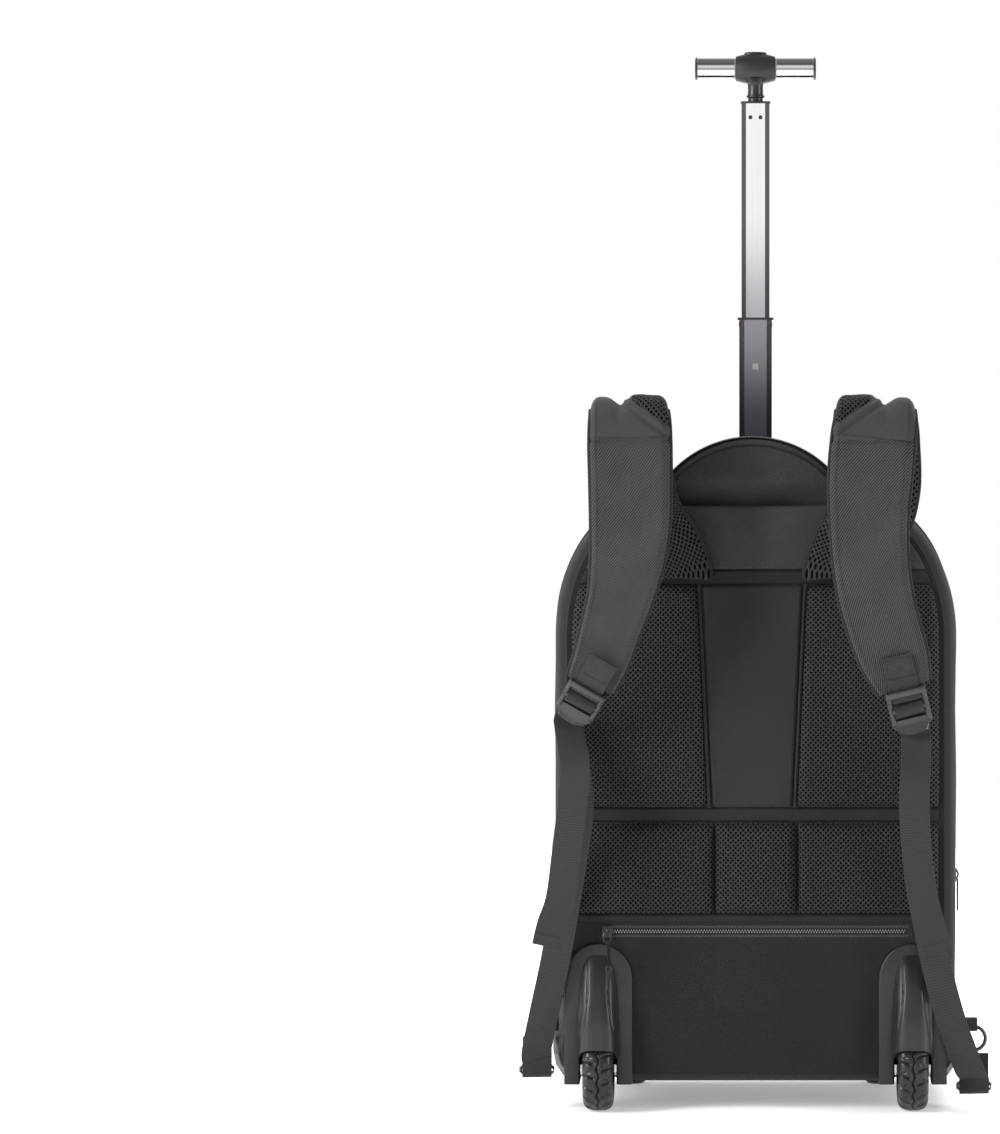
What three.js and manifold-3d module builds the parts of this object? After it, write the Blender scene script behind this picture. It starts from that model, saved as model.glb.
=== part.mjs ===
// Wheeled backpack with a telescopic T handle and deployed shoulder straps.
// Millimetres, +Z up, +X to the right of someone who looks at the harness side, which faces -Y.
import * as THREE from 'three';
import { mergeVertices } from 'three/addons/utils/BufferGeometryUtils.js';
import Module from 'manifold-3d';

const wasm = await Module();
wasm.setup();

// Bag body
const BAG_WIDTH = 342;
const BAG_DEPTH = 195;
const BAG_BOTTOM = 22;
const BAG_TOP = 517;
const SHOULDER_RUN = 75;
const SHOULDER_DROP = 115;
const BOTTOM_RADIUS = 26;
const PANEL_INSET = 11;
const CLOTH = 2.5;
const GAP = 0.3;

// Main zipper round the gusset
const ZIP_PLACE = 0.6;
const ZIP_WIDTH = 20;
const ZIP_END_Z = 150;
const COIL = 5;

// Back panel, from the floor up
const POCKET_ZIP_Z = 153;
const POCKET_ZIP_HALF = 132;
const BINDING_THICK = 4;
const LOW_BINDING_Z = 161;
const LOW_BINDING_HEIGHT = 7;
const MID_BINDING_Z = 246;
const TOP_BINDING_Z = 448;
const BINDING_HEIGHT = 12;
const TOP_BAND_HEIGHT = 53;
const TOP_BAND_THICK = 3;
const PAD_THICK = 12;
const CENTRE_THICK = 6;
const CENTRE_SHIFT = -3;
const CENTRE_HALF_TOP = 45;
const CENTRE_HALF_LOW = 36;

// Dome of the rear compartment
const DOME_RADIUS = 92.7;
const DOME_RISE = 55;
const DOME_THICK = 27;

// Telescopic handle
const POLE_SETBACK = 52;
const MIDDLE_WIDE = 28;
const MIDDLE_DEEP = 24;
const UPPER_WIDE = 24;
const UPPER_DEEP = 20;
const TUBE_WALL = 1.3;
const SLIDE_FIT = 0.5;
const CHAMFER_SHARE = 0.16;
const MIDDLE_TOP = 671;
const MIDDLE_LENGTH = 346;
const COLLAR_HEIGHT = 6;
const UPPER_TOP = 859;
const UPPER_LENGTH = 244;
const NECK_RADIUS = 6.5;
const NECK_HEIGHT = 19;
const HUB_WIDTH = 35;
const HUB_RADIUS = 12;
const BAR_RADIUS = 9.35;
const HANDLE_WIDTH = 104;
const END_CAP = 2;
const BUTTON_WIDE = 16;
const BUTTON_DEEP = 10;
const BUTTON_TRAVEL = 2.5;
const LOCK_SIZE = 4.5;
const LOCK_DROP = 38;
const LOCK_PROUD = 0.2;
const RIVET_RADIUS = 1.75;
const RIVET_PITCH = 8.6;
const RIVET_DROP = 12;

// Wheels and their housings
// From each side of the bag in to the middle of its wheel.
const WHEEL_INSET = 37.4;
const WHEEL_RADIUS = 36;
const TYRE_WIDTH = 26;
const RIM_RADIUS = 25;
const HUB_CORE_WIDTH = 21;
const AXLE_RADIUS = 4;
const BUSH_RADIUS = 6.5;
const AXLE_INSET = 7;
const WHEEL_CLEAR = 2.5;
const HOUSING_WIDTH = 58;
const HOUSING_TOP = 143;
const HOUSING_THICK = 5;
const COWL_HALF = 18;
const COWL_REACH = 28;
const COWL_LIP_Z = 57;
const COWL_TOP_Z = 135;
const LINER_WALL = 2.2;
const AXLE_PROUD = 1.5;
const GUARD_HEIGHT = 75;
const GUARD_THICK = 2.5;
const GUARD_WRAP = 42;
const FOOT_SPREAD = 220;
const FOOT_RADIUS = 13;
const FOOT_SETBACK = 30;

// Harness
const STRAP_WIDTH = 68;
const STRAP_THICK = 12;
const STRAP_REACH = 60;
const WEB_WIDTH = 25;
const WEB_THICK = 1.5;
const BUCKLE_WIDTH = 34;
const BUCKLE_LENGTH = 37;
const BUCKLE_THICK = 4;
const BUCKLE_BAR = 4.5;
const RING_RADIUS = 10;
const RING_WIRE = 1.6;
const RING_Z = 60;
const RING_SETBACK = 13;
const SNAP_RADIUS = 7;
const SNAP_WIRE = 1.4;
const HOOK_BAR = 1.5;

const HALF = BAG_WIDTH / 2;
const WHEEL_TRACK = BAG_WIDTH - 2 * WHEEL_INSET;
const BACK_Y = -BAG_DEPTH / 2;
const FRONT_Y = BAG_DEPTH / 2;
const BAG_HEIGHT = BAG_TOP - BAG_BOTTOM;
const POLE_Y = BACK_Y + POLE_SETBACK;
const X_AXIS = new THREE.Vector3(1, 0, 0);
const SIDES = [
  { name: 'left', sign: -1 },
  { name: 'right', sign: 1 },
];

const bag = new THREE.Group();

const FINISH = {
  twill: { color: 0x2b2b2d, roughness: 0.85, metalness: 0 },
  mesh: { color: 0x1a1a1b, roughness: 0.95, metalness: 0 },
  binding: { color: 0x202022, roughness: 0.8, metalness: 0 },
  webbing: { color: 0x303032, roughness: 0.8, metalness: 0 },
  plastic: { color: 0x242426, roughness: 0.45, metalness: 0 },
  rubber: { color: 0x161617, roughness: 0.7, metalness: 0 },
  zipper: { color: 0x1c1c1e, roughness: 0.6, metalness: 0 },
  zinc: { color: 0x3a3a3c, roughness: 0.35, metalness: 0.9 },
  chrome: { color: 0xb8b8ba, roughness: 0.15, metalness: 1 },
  silver: { color: 0xc9c9cc, roughness: 0.25, metalness: 1 },
  gunmetal: { color: 0x4b4c54, roughness: 0.3, metalness: 1 },
};

// Solids

function closed(geometry) {
  for (const name of Object.keys(geometry.attributes)) {
    if (name !== 'position') geometry.deleteAttribute(name);
  }
  const merged = mergeVertices(geometry, 1e-4);
  const place = merged.attributes.position;
  const corners = merged.index.array;
  const kept = [];
  let volume = 0;
  const [a, b, c] = [new THREE.Vector3(), new THREE.Vector3(), new THREE.Vector3()];
  for (let i = 0; i < corners.length; i += 3) {
    const [p, q, r] = [corners[i], corners[i + 1], corners[i + 2]];
    if (p === q || q === r || r === p) continue;
    kept.push(p, q, r);
    volume += a.fromBufferAttribute(place, p)
      .dot(b.fromBufferAttribute(place, q).cross(c.fromBufferAttribute(place, r)));
  }
  if (volume < 0) kept.reverse();
  merged.setIndex(kept);
  return merged;
}

function solid(geometry) {
  const shape = closed(geometry);
  return new wasm.Manifold(new wasm.Mesh({
    numProp: 3,
    vertProperties: new Float32Array(shape.attributes.position.array),
    triVerts: new Uint32Array(shape.index.array),
  }));
}

function toGeometry(shape) {
  const mesh = shape.getMesh();
  const geometry = new THREE.BufferGeometry();
  geometry.setAttribute('position', new THREE.BufferAttribute(new Float32Array(mesh.vertProperties), 3));
  geometry.setIndex(Array.from(mesh.triVerts));
  return geometry;
}

function add(name, finish, shape) {
  const geometry = shape.isBufferGeometry ? closed(shape) : toGeometry(shape);
  const mesh = new THREE.Mesh(geometry, new THREE.MeshStandardMaterial(FINISH[finish]));
  mesh.name = name;
  bag.add(mesh);
}

function loft(rings) {
  const count = rings[0].length;
  const last = (rings.length - 1) * count;
  const index = [];
  for (let ring = 0; ring < last; ring += count) {
    for (let i = 0; i < count; i += 1) {
      const next = ring + ((i + 1) % count);
      index.push(ring + i, next, next + count, ring + i, next + count, ring + i + count);
    }
  }
  for (let i = 1; i + 1 < count; i += 1) {
    index.push(0, i + 1, i, last, last + i, last + i + 1);
  }
  const geometry = new THREE.BufferGeometry();
  const flat = rings.flat().flatMap((point) => point.toArray());
  geometry.setAttribute('position', new THREE.Float32BufferAttribute(flat, 3));
  geometry.setIndex(index);
  return geometry;
}

function block(low, high) {
  const size = high.map((value, i) => value - low[i]);
  const middle = high.map((value, i) => (value + low[i]) / 2);
  return solid(new THREE.BoxGeometry(...size).translate(...middle));
}

// A flat piece drawn in X and Z that stands out from a wall at backY towards -Y.
function slab(outline, backY, thickness, bevel = 0) {
  const shape = outline.isShape ? outline : new THREE.Shape(outline);
  const geometry = new THREE.ExtrudeGeometry(shape, {
    depth: thickness - 2 * bevel,
    bevelEnabled: bevel > 0,
    bevelThickness: bevel,
    bevelSize: bevel,
    bevelOffset: -bevel,
    bevelSegments: 2,
    curveSegments: 6,
  });
  return geometry.rotateX(Math.PI / 2).translate(0, backY - bevel, 0);
}

// A round piece on an axis along X, from rows of [place along the axis, radius].
function turnedX(profile, segments = 20) {
  const points = profile.map(([along, radius]) => new THREE.Vector2(radius, along));
  return new THREE.LatheGeometry(points, segments).rotateZ(-Math.PI / 2);
}

function turnedZ(profile, segments = 20) {
  const points = profile.map(([along, radius]) => new THREE.Vector2(radius, along));
  return new THREE.LatheGeometry(points, segments).rotateX(Math.PI / 2);
}

// A strip that follows a path, with its width square to the path and as near as it can be to X, or to
// the direction that a section names.
function ribbon(sections, profile) {
  const last = sections.length - 1;
  const rings = sections.map((section, i) => {
    const before = sections[Math.max(i - 1, 0)].at;
    const after = sections[Math.min(i + 1, last)].at;
    const along = after.clone().sub(before).normalize();
    const wanted = section.across ?? X_AXIS;
    const across = wanted.clone().addScaledVector(along, -along.dot(wanted)).normalize();
    const out = across.clone().cross(along);
    return profile.map(([u, v]) => section.at.clone()
      .addScaledVector(across, (u * section.width) / 2)
      .addScaledVector(out, (v * section.thick) / 2));
  });
  return loft(rings);
}

const PADDED = [[1, -0.3], [1, 0.3], [0.84, 1], [-0.84, 1], [-1, 0.3], [-1, -0.3], [-0.84, -1], [0.84, -1]];
const FLAT = [[1, -1], [1, 1], [-1, 1], [-1, -1]];

// Bag body

// Half of the bag's width at height z, with its edge drawn in by inset.
function halfWidthAt(z, inset = 0) {
  const startZ = BAG_TOP - SHOULDER_DROP;
  const rise = Math.max(z - startZ, 0) / (SHOULDER_DROP - inset);
  return HALF - SHOULDER_RUN + (SHOULDER_RUN - inset) * Math.sqrt(Math.max(1 - rise * rise, 0));
}

function arc(centreX, centreZ, runX, runZ, from, to, steps) {
  return Array.from({ length: steps + 1 }, (unused, i) => {
    const angle = from + ((to - from) * i) / steps;
    return [centreX + runX * Math.cos(angle), centreZ + runZ * Math.sin(angle)];
  });
}

function bagOutline(inset) {
  const low = Math.max(BOTTOM_RADIUS - inset, 2);
  const right = [
    ...arc(HALF - inset - low, BAG_BOTTOM + inset + low, low, low, -Math.PI / 2, 0, 4),
    ...arc(
      HALF - SHOULDER_RUN, BAG_TOP - SHOULDER_DROP, SHOULDER_RUN - inset, SHOULDER_DROP - inset, 0, Math.PI / 2, 9,
    ),
  ];
  const left = right.map(([x, z]) => [-x, z]).reverse();
  return [...right, ...left];
}

// Rows of [place as a share of the depth, edge drawn in as a share of the panel's inset].
const BAG_STATIONS = [
  [0, 1], [0.025, 0.6], [0.08, 0.14], [0.19, 0], [0.81, 0], [0.92, 0.3], [0.98, 0.85], [1, 1.4],
];

function bagSolid(grow) {
  const rings = BAG_STATIONS.map(([place, drawn]) => {
    const y = BACK_Y - grow + place * (BAG_DEPTH + 2 * grow);
    return bagOutline(drawn * PANEL_INSET - grow).map(([x, z]) => new THREE.Vector3(x, y, z));
  });
  return solid(loft(rings));
}

const FAR = 2000;
const zipBack = BACK_Y + ZIP_PLACE * BAG_DEPTH;
const zipFront = zipBack + ZIP_WIDTH;

function slice(backY, frontY, lowZ = -FAR, highZ = FAR) {
  return block([-FAR, backY, lowZ], [FAR, frontY, highZ]);
}

// Telescopic handle sections

function tubeOutline(wide, deep) {
  const cut = CHAMFER_SHARE * wide;
  const [w, d] = [wide / 2, deep / 2];
  return [
    [w, -d + cut], [w, d - cut], [w - cut, d], [-w + cut, d],
    [-w, d - cut], [-w, -d + cut], [-w + cut, -d], [w - cut, -d],
  ];
}

function bar(wide, deep, lowZ, highZ) {
  const rings = [lowZ, highZ].map((z) => tubeOutline(wide, deep)
    .map(([x, y]) => new THREE.Vector3(x, POLE_Y + y, z)));
  return solid(loft(rings));
}

function tube(wide, deep, wall, lowZ, highZ) {
  return bar(wide, deep, lowZ, highZ)
    .subtract(bar(wide - 2 * wall, deep - 2 * wall, lowZ - 1, highZ + 1));
}

const SLEEVE_WALL = 1.8;
const sleeveWide = MIDDLE_WIDE + 2 * (SLIDE_FIT + SLEEVE_WALL);
const sleeveDeep = MIDDLE_DEEP + 2 * (SLIDE_FIT + SLEEVE_WALL);
const BEZEL_RIM = 6;
const BEZEL_HEIGHT = 3;

// Wheel places and housings

const axleY = BACK_Y + AXLE_INSET;
const axleZ = WHEEL_RADIUS;
const linerHalf = TYRE_WIDTH / 2 + WHEEL_CLEAR + LINER_WALL;
const plateY = BACK_Y - GAP;

function turnedWheel(profile, side, segments) {
  return turnedX(profile, segments).translate((side.sign * WHEEL_TRACK) / 2, axleY, axleZ);
}

// Rows of [half width as a share of the tyre's, radius as a share of the wheel's].
const TYRE_CROWN = [[1, 0.76], [0.94, 0.88], [0.7, 0.97], [0.2, 1]];

function tyreProfile(clear) {
  const half = TYRE_WIDTH / 2;
  const crown = TYRE_CROWN.map(([across, radius]) => [across * half + clear, radius * WHEEL_RADIUS + clear]);
  return [...crown.map(([across, radius]) => [-across, radius]), ...crown.reverse()];
}

function wheelSpace(side) {
  const half = TYRE_WIDTH / 2 + WHEEL_CLEAR;
  const round = solid(turnedWheel([[-half, 0], ...tyreProfile(WHEEL_CLEAR), [half, 0]], side, 20));
  const reach = WHEEL_RADIUS + WHEEL_CLEAR;
  const x = (side.sign * WHEEL_TRACK) / 2;
  return round.add(block([x - half, axleY - reach, -FAR], [x + half, axleY + reach, axleZ]));
}

// Rows of [height as a share of the cowl, half width share, reach share].
const COWL_SECTIONS = [
  [0, 1, 1], [0.3, 1, 0.98], [0.55, 0.97, 0.84], [0.75, 0.9, 0.6], [0.9, 0.74, 0.32], [1, 0.4, 0.08],
];

function cowl(side) {
  const x = (side.sign * WHEEL_TRACK) / 2;
  const steps = 14;
  const rings = COWL_SECTIONS.map(([up, half, reach]) => {
    const z = COWL_LIP_Z + up * (COWL_TOP_Z - COWL_LIP_Z);
    return Array.from({ length: steps + 1 }, (unused, i) => {
      const angle = (Math.PI * i) / steps;
      const across = Math.sign(Math.cos(angle)) * Math.abs(Math.cos(angle)) ** 0.6;
      const out = Math.sin(angle) ** 0.6;
      const y = i % steps === 0 ? plateY - 1 : plateY - 1 - out * (reach * COWL_REACH - 1);
      return new THREE.Vector3(x + across * half * COWL_HALF, y, z);
    });
  });
  return solid(loft(rings));
}

function archOutline(half, low, high) {
  const spring = high - half * 1.1;
  return [[half, low], ...arc(0, spring, half, high - spring, 0, Math.PI, 14), [-half, low]];
}

function housing(side) {
  const x = (side.sign * WHEEL_TRACK) / 2;
  const outline = archOutline(HOUSING_WIDTH / 2, BAG_BOTTOM + 1, HOUSING_TOP)
    .map(([across, z]) => new THREE.Vector2(x + across, z));
  const plate = solid(slab(outline, plateY, HOUSING_THICK, 1.2));
  const linerTop = axleZ + WHEEL_RADIUS + WHEEL_CLEAR + LINER_WALL;
  const linerFront = axleY + WHEEL_RADIUS + WHEEL_CLEAR + LINER_WALL;
  const linerBack = plateY - HOUSING_THICK / 2;
  const liner = block([x - linerHalf, linerBack, BAG_BOTTOM + 1], [x + linerHalf, linerFront, linerTop]);
  return { liner, body: plate.add(cowl(side)).add(liner).subtract(wheelSpace(side)) };
}

function axle(side, clear = 0) {
  const half = linerHalf + AXLE_PROUD + clear;
  const bushFrom = TYRE_WIDTH / 2 - 1.6;
  const bushTo = linerHalf - LINER_WALL - GAP;
  const r = AXLE_RADIUS + clear;
  const bush = BUSH_RADIUS + clear;
  const right = [
    [bushFrom, r], [bushFrom, bush], [bushTo + clear, bush], [bushTo + clear, r], [half, r], [half, 0],
  ];
  const left = right.map(([along, radius]) => [-along, radius]).reverse();
  return solid(turnedWheel([...left, ...right], side, 12));
}

const housings = SIDES.map((side) => ({ side, ...housing(side), axle: axle(side), bore: axle(side, GAP) }));

// Shells with their cut-outs

function cutForHousings(shell) {
  let result = shell;
  for (const { side } of housings) {
    const x = (side.sign * WHEEL_TRACK) / 2;
    const half = linerHalf + AXLE_PROUD + 2 * GAP;
    const front = axleY + WHEEL_RADIUS + WHEEL_CLEAR + LINER_WALL + GAP;
    const top = axleZ + WHEEL_RADIUS + WHEEL_CLEAR + LINER_WALL + GAP;
    result = result.subtract(block([x - half, -FAR, -FAR], [x + half, front, top]));
  }
  return result;
}

const outer = bagSolid(0);
const cloth = outer.subtract(bagSolid(-CLOTH));
const sleeveHole = bar(sleeveWide + 2 * GAP, sleeveDeep + 2 * GAP, BAG_TOP - SHOULDER_DROP / 2, FAR);
const behindZip = cloth.intersect(slice(-FAR, zipBack));
const underZip = cloth.intersect(slice(zipBack - 1, zipFront, -FAR, ZIP_END_Z));
add('back_shell', 'twill', cutForHousings(behindZip.add(underZip)).subtract(sleeveHole));
add('front_shell', 'twill', cloth.intersect(slice(zipFront + GAP, FAR)));

const RIDGE = 1;
const tape = cloth.intersect(slice(zipBack + GAP, zipFront - GAP, ZIP_END_Z + GAP));
const zipMiddle = (zipBack + zipFront) / 2;
const ridge = bagSolid(RIDGE).subtract(bagSolid(-RIDGE))
  .intersect(slice(zipMiddle - COIL / 2, zipMiddle + COIL / 2, ZIP_END_Z + GAP));
const recess = bagSolid(RIDGE).subtract(bagSolid(-0.8))
  .intersect(slice(zipBack + 2, zipFront - 2, ZIP_END_Z + 2));
add('main_zipper', 'zipper', tape.subtract(recess).add(ridge));

// A slider with its pull, drawn flat at the origin: slider across X, pull hanging down Z, seat at y 0.
function sliderOutline(length) {
  return [
    [[-5, -5], [5, -5], [6, 0], [4, 7], [-4, 7], [-6, 0]],
    [[-3, -length], [3, -length], [2, -7], [2.6, 1], [-2.6, 1], [-2, -7]],
  ].map((rows) => rows.map(([x, z]) => new THREE.Vector2(x, z)));
}

function slider(turn, lift, [x, y, z]) {
  const [body, pull] = sliderOutline(SLIDER_PULL);
  return solid(slab(body, 0, 3.4, 0.6).rotateZ(turn).translate(x, y, z))
    .add(solid(slab(pull, -2.6, 2.2, 0.4).rotateX(-lift).rotateZ(turn).translate(x, y, z)));
}

const SLIDER_PULL = 34;
const SLIDER_RISE = 40;
add('main_zip_slider', 'zinc', slider(Math.PI / 2, 0, [HALF + RIDGE + GAP, zipMiddle, ZIP_END_Z + SLIDER_RISE]));

// Back panel

function vectors(rows) {
  return rows.map(([x, z]) => new THREE.Vector2(x, z));
}

const EDGE_MARGIN = 4;

// The run of the panel's edge between two heights, going up, on the +X side.
function panelEdge(lowZ, highZ, steps) {
  return Array.from({ length: steps + 1 }, (unused, i) => {
    const z = lowZ + ((highZ - lowZ) * i) / steps;
    return [halfWidthAt(z, PANEL_INSET) - EDGE_MARGIN, z];
  });
}

function mirrored(rows) {
  return rows.map(([x, z]) => [-x, z]).reverse();
}

function band(lowZ, highZ, steps) {
  const edge = panelEdge(lowZ, highZ, steps);
  return vectors([...edge, ...mirrored(edge)]);
}

function panelStrip(name, finish, lowZ, height, thick, bevel, steps = 1) {
  add(name, finish, slab(band(lowZ + GAP / 2, lowZ + height - GAP / 2, steps), BACK_Y - GAP, thick, bevel));
}

panelStrip('low_binding', 'binding', LOW_BINDING_Z, LOW_BINDING_HEIGHT, BINDING_THICK, 1.2);
panelStrip('mid_binding', 'binding', MID_BINDING_Z, BINDING_HEIGHT, BINDING_THICK, 1.5);
panelStrip('top_binding', 'binding', TOP_BINDING_Z, BINDING_HEIGHT, BINDING_THICK, 1.5, 3);
const topBandLow = TOP_BINDING_Z + BINDING_HEIGHT;
const topBandHigh = Math.min(topBandLow + TOP_BAND_HEIGHT, BAG_TOP - PANEL_INSET - 1);
panelStrip('top_band', 'twill', topBandLow, topBandHigh - topBandLow, TOP_BAND_THICK, 0.8, 10);

const padLow = MID_BINDING_Z + BINDING_HEIGHT + GAP;
const padHigh = TOP_BINDING_Z - GAP;

function centreEdge(sign, clear) {
  return [
    [CENTRE_SHIFT + sign * (CENTRE_HALF_LOW + clear), padLow],
    [CENTRE_SHIFT + sign * (CENTRE_HALF_TOP + clear), padHigh],
  ];
}

const centreRows = [...centreEdge(1, 0), ...centreEdge(-1, 0).reverse()];
add('centre_panel', 'twill', slab(vectors(centreRows), BACK_Y - GAP, CENTRE_THICK, 1.5));

for (const side of SIDES) {
  const edge = panelEdge(padLow, padHigh, 6).map(([x, z]) => [side.sign * x, z]);
  const inner = centreEdge(side.sign, GAP).reverse();
  add(`mesh_pad_${side.name}`, 'mesh', slab(vectors([...edge, ...inner]), BACK_Y - GAP, PAD_THICK, 3.5));
}

// The lumbar pad is quilted in three by two stitched channels.
const lumbarLow = LOW_BINDING_Z + LOW_BINDING_HEIGHT + GAP;
const lumbarHigh = MID_BINDING_Z - GAP;
const CHANNEL_HALF = 35;
const lumbarHalf = halfWidthAt(lumbarHigh, PANEL_INSET) - EDGE_MARGIN;

function rectangle(x0, x1, z0, z1) {
  return vectors([[x1, z0], [x1, z1], [x0, z1], [x0, z0]]);
}

const lumbarParts = [[-lumbarHalf, -CHANNEL_HALF], [-CHANNEL_HALF, CHANNEL_HALF], [CHANNEL_HALF, lumbarHalf]];
const lumbarBase = rectangle(-lumbarHalf + 3, lumbarHalf - 3, lumbarLow, lumbarHigh);
let lumbar = solid(slab(lumbarBase, BACK_Y - GAP, PAD_THICK / 3));
for (const [x0, x1] of lumbarParts) {
  const quilt = rectangle(x0 + 0.5, x1 - 0.5, lumbarLow, lumbarHigh);
  lumbar = lumbar.add(solid(slab(quilt, BACK_Y - GAP, PAD_THICK, 3)));
}
add('lumbar_pad', 'mesh', lumbar);

const POCKET_TAPE = 11;
const COIL_PROUD = 2.6;

function pocketStrip(height, thick, bevel) {
  const [low, high] = [POCKET_ZIP_Z - height / 2, POCKET_ZIP_Z + height / 2];
  return solid(slab(rectangle(-POCKET_ZIP_HALF, POCKET_ZIP_HALF, low, high), BACK_Y - GAP, thick, bevel));
}

add('pocket_zipper', 'zipper', pocketStrip(POCKET_TAPE, 1.2).add(pocketStrip(COIL, COIL_PROUD, 0.5)));
const pocketSliderPlace = [6 - POCKET_ZIP_HALF, BACK_Y - COIL_PROUD - 2 * GAP, POCKET_ZIP_Z];
// Its pull hangs over the wheel housing's cowl.
const PULL_LIFT = 0.5;
add('pocket_slider', 'zinc', slider(0, PULL_LIFT, pocketSliderPlace));

// Dome of the rear compartment, a hollow pouch that rises above the shoulder line.

const domeCentreZ = BAG_TOP + DOME_RISE - DOME_RADIUS;
const domeBack = BACK_Y + 4;

function domeSolid(inset, backY, frontY, lowZ) {
  const radius = DOME_RADIUS - inset;
  const half = Math.acos(Math.min((lowZ - domeCentreZ) / radius, 1));
  const [from, to] = [Math.PI / 2 - half, Math.PI / 2 + half];
  const ring = (y, drawn) => arc(CENTRE_SHIFT, domeCentreZ, radius - drawn, radius - drawn, from, to, 18)
    .map(([x, z]) => new THREE.Vector3(x, y, z));
  const rows = [[backY, 5], [backY + 4, 1], [backY + 8, 0], [frontY - 6, 0], [frontY - 2, 1.5], [frontY, 5]];
  return solid(loft(rows.map(([y, drawn]) => ring(y, drawn))));
}

const grownBag = bagSolid(GAP);
const domeFloor = BAG_TOP - 30;
const domeFront = domeBack + DOME_THICK;
const domeOuter = domeSolid(0, domeBack, domeFront, domeFloor);
const domeInner = domeSolid(CLOTH, domeBack + CLOTH, domeFront - CLOTH, domeFloor - 1);
add('rear_dome', 'twill', domeOuter.subtract(domeInner).subtract(grownBag));
const domeZipY = domeBack + 8;
const domeZip = domeSolid(-1.4, domeZipY - 5, domeZipY + 17, domeFloor)
  .subtract(domeSolid(-GAP, domeZipY - 7, domeZipY + 19, domeFloor - 1))
  .intersect(slice(domeZipY, domeZipY + COIL));
add('dome_zipper', 'zipper', domeZip.subtract(bagSolid(GAP * 2)));

// Rear corners, feet and wheels

const guardRegionTop = BAG_BOTTOM + GUARD_HEIGHT;

function cornerGuard(side) {
  const skin = bagSolid(GAP + GUARD_THICK).subtract(grownBag);
  const inner = (side.sign * WHEEL_TRACK) / 2 + side.sign * (HOUSING_WIDTH / 2 + GAP);
  const far = side.sign * FAR;
  const [x0, x1] = [Math.min(inner, far), Math.max(inner, far)];
  const low = BAG_BOTTOM + 1;
  const wrap = BACK_Y + GUARD_WRAP;
  const square = block([x0, -FAR, low], [x1, wrap, guardRegionTop - GUARD_WRAP / 2]);
  const top = new THREE.CylinderGeometry(GUARD_WRAP / 2, GUARD_WRAP / 2, FAR, 24).rotateZ(Math.PI / 2)
    .translate(inner + far / 2, wrap - GUARD_WRAP / 2, guardRegionTop - GUARD_WRAP / 2);
  const nose = block([x0, -FAR, low], [x1, wrap - GUARD_WRAP / 2, guardRegionTop]);
  return skin.intersect(square.add(solid(top)).add(nose));
}

for (const { side, body, bore } of housings) {
  add(`wheel_housing_${side.name}`, 'plastic', body.subtract(bore));
  add(`corner_guard_${side.name}`, 'plastic', cornerGuard(side).subtract(body));
}
for (const { side, axle: pin } of housings) {
  add(`axle_${side.name}`, 'chrome', pin);
  const coreHalf = HUB_CORE_WIDTH / 2;
  const bore = AXLE_RADIUS + 0.1;
  const core = turnedWheel([
    [-coreHalf, bore], [-coreHalf, RIM_RADIUS - 7], [-coreHalf + 4, RIM_RADIUS - 5],
    [-coreHalf + 4, RIM_RADIUS - GAP], [coreHalf - 4, RIM_RADIUS - GAP], [coreHalf - 4, RIM_RADIUS - 5],
    [coreHalf, RIM_RADIUS - 7], [coreHalf, bore], [-coreHalf, bore],
  ], side, 20);
  add(`wheel_core_${side.name}`, 'plastic', solid(core));
  const half = TYRE_WIDTH / 2;
  const tread = [[-half, RIM_RADIUS], ...tyreProfile(0), [half, RIM_RADIUS], [-half, RIM_RADIUS]];
  add(`tyre_${side.name}`, 'rubber', solid(turnedWheel(tread, side, 24)));
}

for (const side of SIDES) {
  const x = (side.sign * FOOT_SPREAD) / 2;
  const foot = turnedZ([
    [0, 0], [0, FOOT_RADIUS - 2], [2, FOOT_RADIUS], [BAG_BOTTOM - GAP, FOOT_RADIUS + 2], [BAG_BOTTOM - GAP, 0],
  ], 16);
  add(`front_foot_${side.name}`, 'rubber', foot.translate(x, FRONT_Y - FOOT_SETBACK, 0));
}

// Telescopic handle

const sleeveTop = BAG_TOP + GAP + BEZEL_HEIGHT;
const sleeve = bar(sleeveWide, sleeveDeep, BAG_BOTTOM + CLOTH + GAP, sleeveTop - 1)
  .add(bar(sleeveWide + 2 * BEZEL_RIM, sleeveDeep + 2 * BEZEL_RIM, BAG_TOP + GAP, sleeveTop))
  .subtract(bar(MIDDLE_WIDE + 2 * SLIDE_FIT, MIDDLE_DEEP + 2 * SLIDE_FIT, BAG_BOTTOM, sleeveTop + 1));
add('handle_sleeve', 'plastic', sleeve);

const lockZ = MIDDLE_TOP - LOCK_DROP;
const lockHalf = LOCK_SIZE / 2;
const middleFace = POLE_Y - MIDDLE_DEEP / 2;
const lockHole = block(
  [-lockHalf - GAP, middleFace - 1, lockZ - lockHalf - GAP],
  [lockHalf + GAP, middleFace + TUBE_WALL + 1, lockZ + lockHalf + GAP],
);
const middleTube = tube(MIDDLE_WIDE, MIDDLE_DEEP, TUBE_WALL, MIDDLE_TOP - MIDDLE_LENGTH, MIDDLE_TOP);
add('middle_tube', 'gunmetal', middleTube.subtract(lockHole));
add('lock_button', 'plastic', block(
  [-lockHalf, middleFace - LOCK_PROUD, lockZ - lockHalf],
  [lockHalf, middleFace + TUBE_WALL + 0.1, lockZ + lockHalf],
));
const COLLAR_RIM = 1.5;
const collarLow = MIDDLE_TOP - COLLAR_HEIGHT + 2;
const collar = bar(MIDDLE_WIDE + 2 * COLLAR_RIM, MIDDLE_DEEP + 2 * COLLAR_RIM, collarLow, MIDDLE_TOP + 4)
  .subtract(bar(MIDDLE_WIDE + 2 * GAP, MIDDLE_DEEP + 2 * GAP, 0, MIDDLE_TOP + GAP))
  .subtract(bar(UPPER_WIDE + 0.8, UPPER_DEEP + 0.8, 0, FAR));
add('middle_collar', 'plastic', collar);

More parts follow.
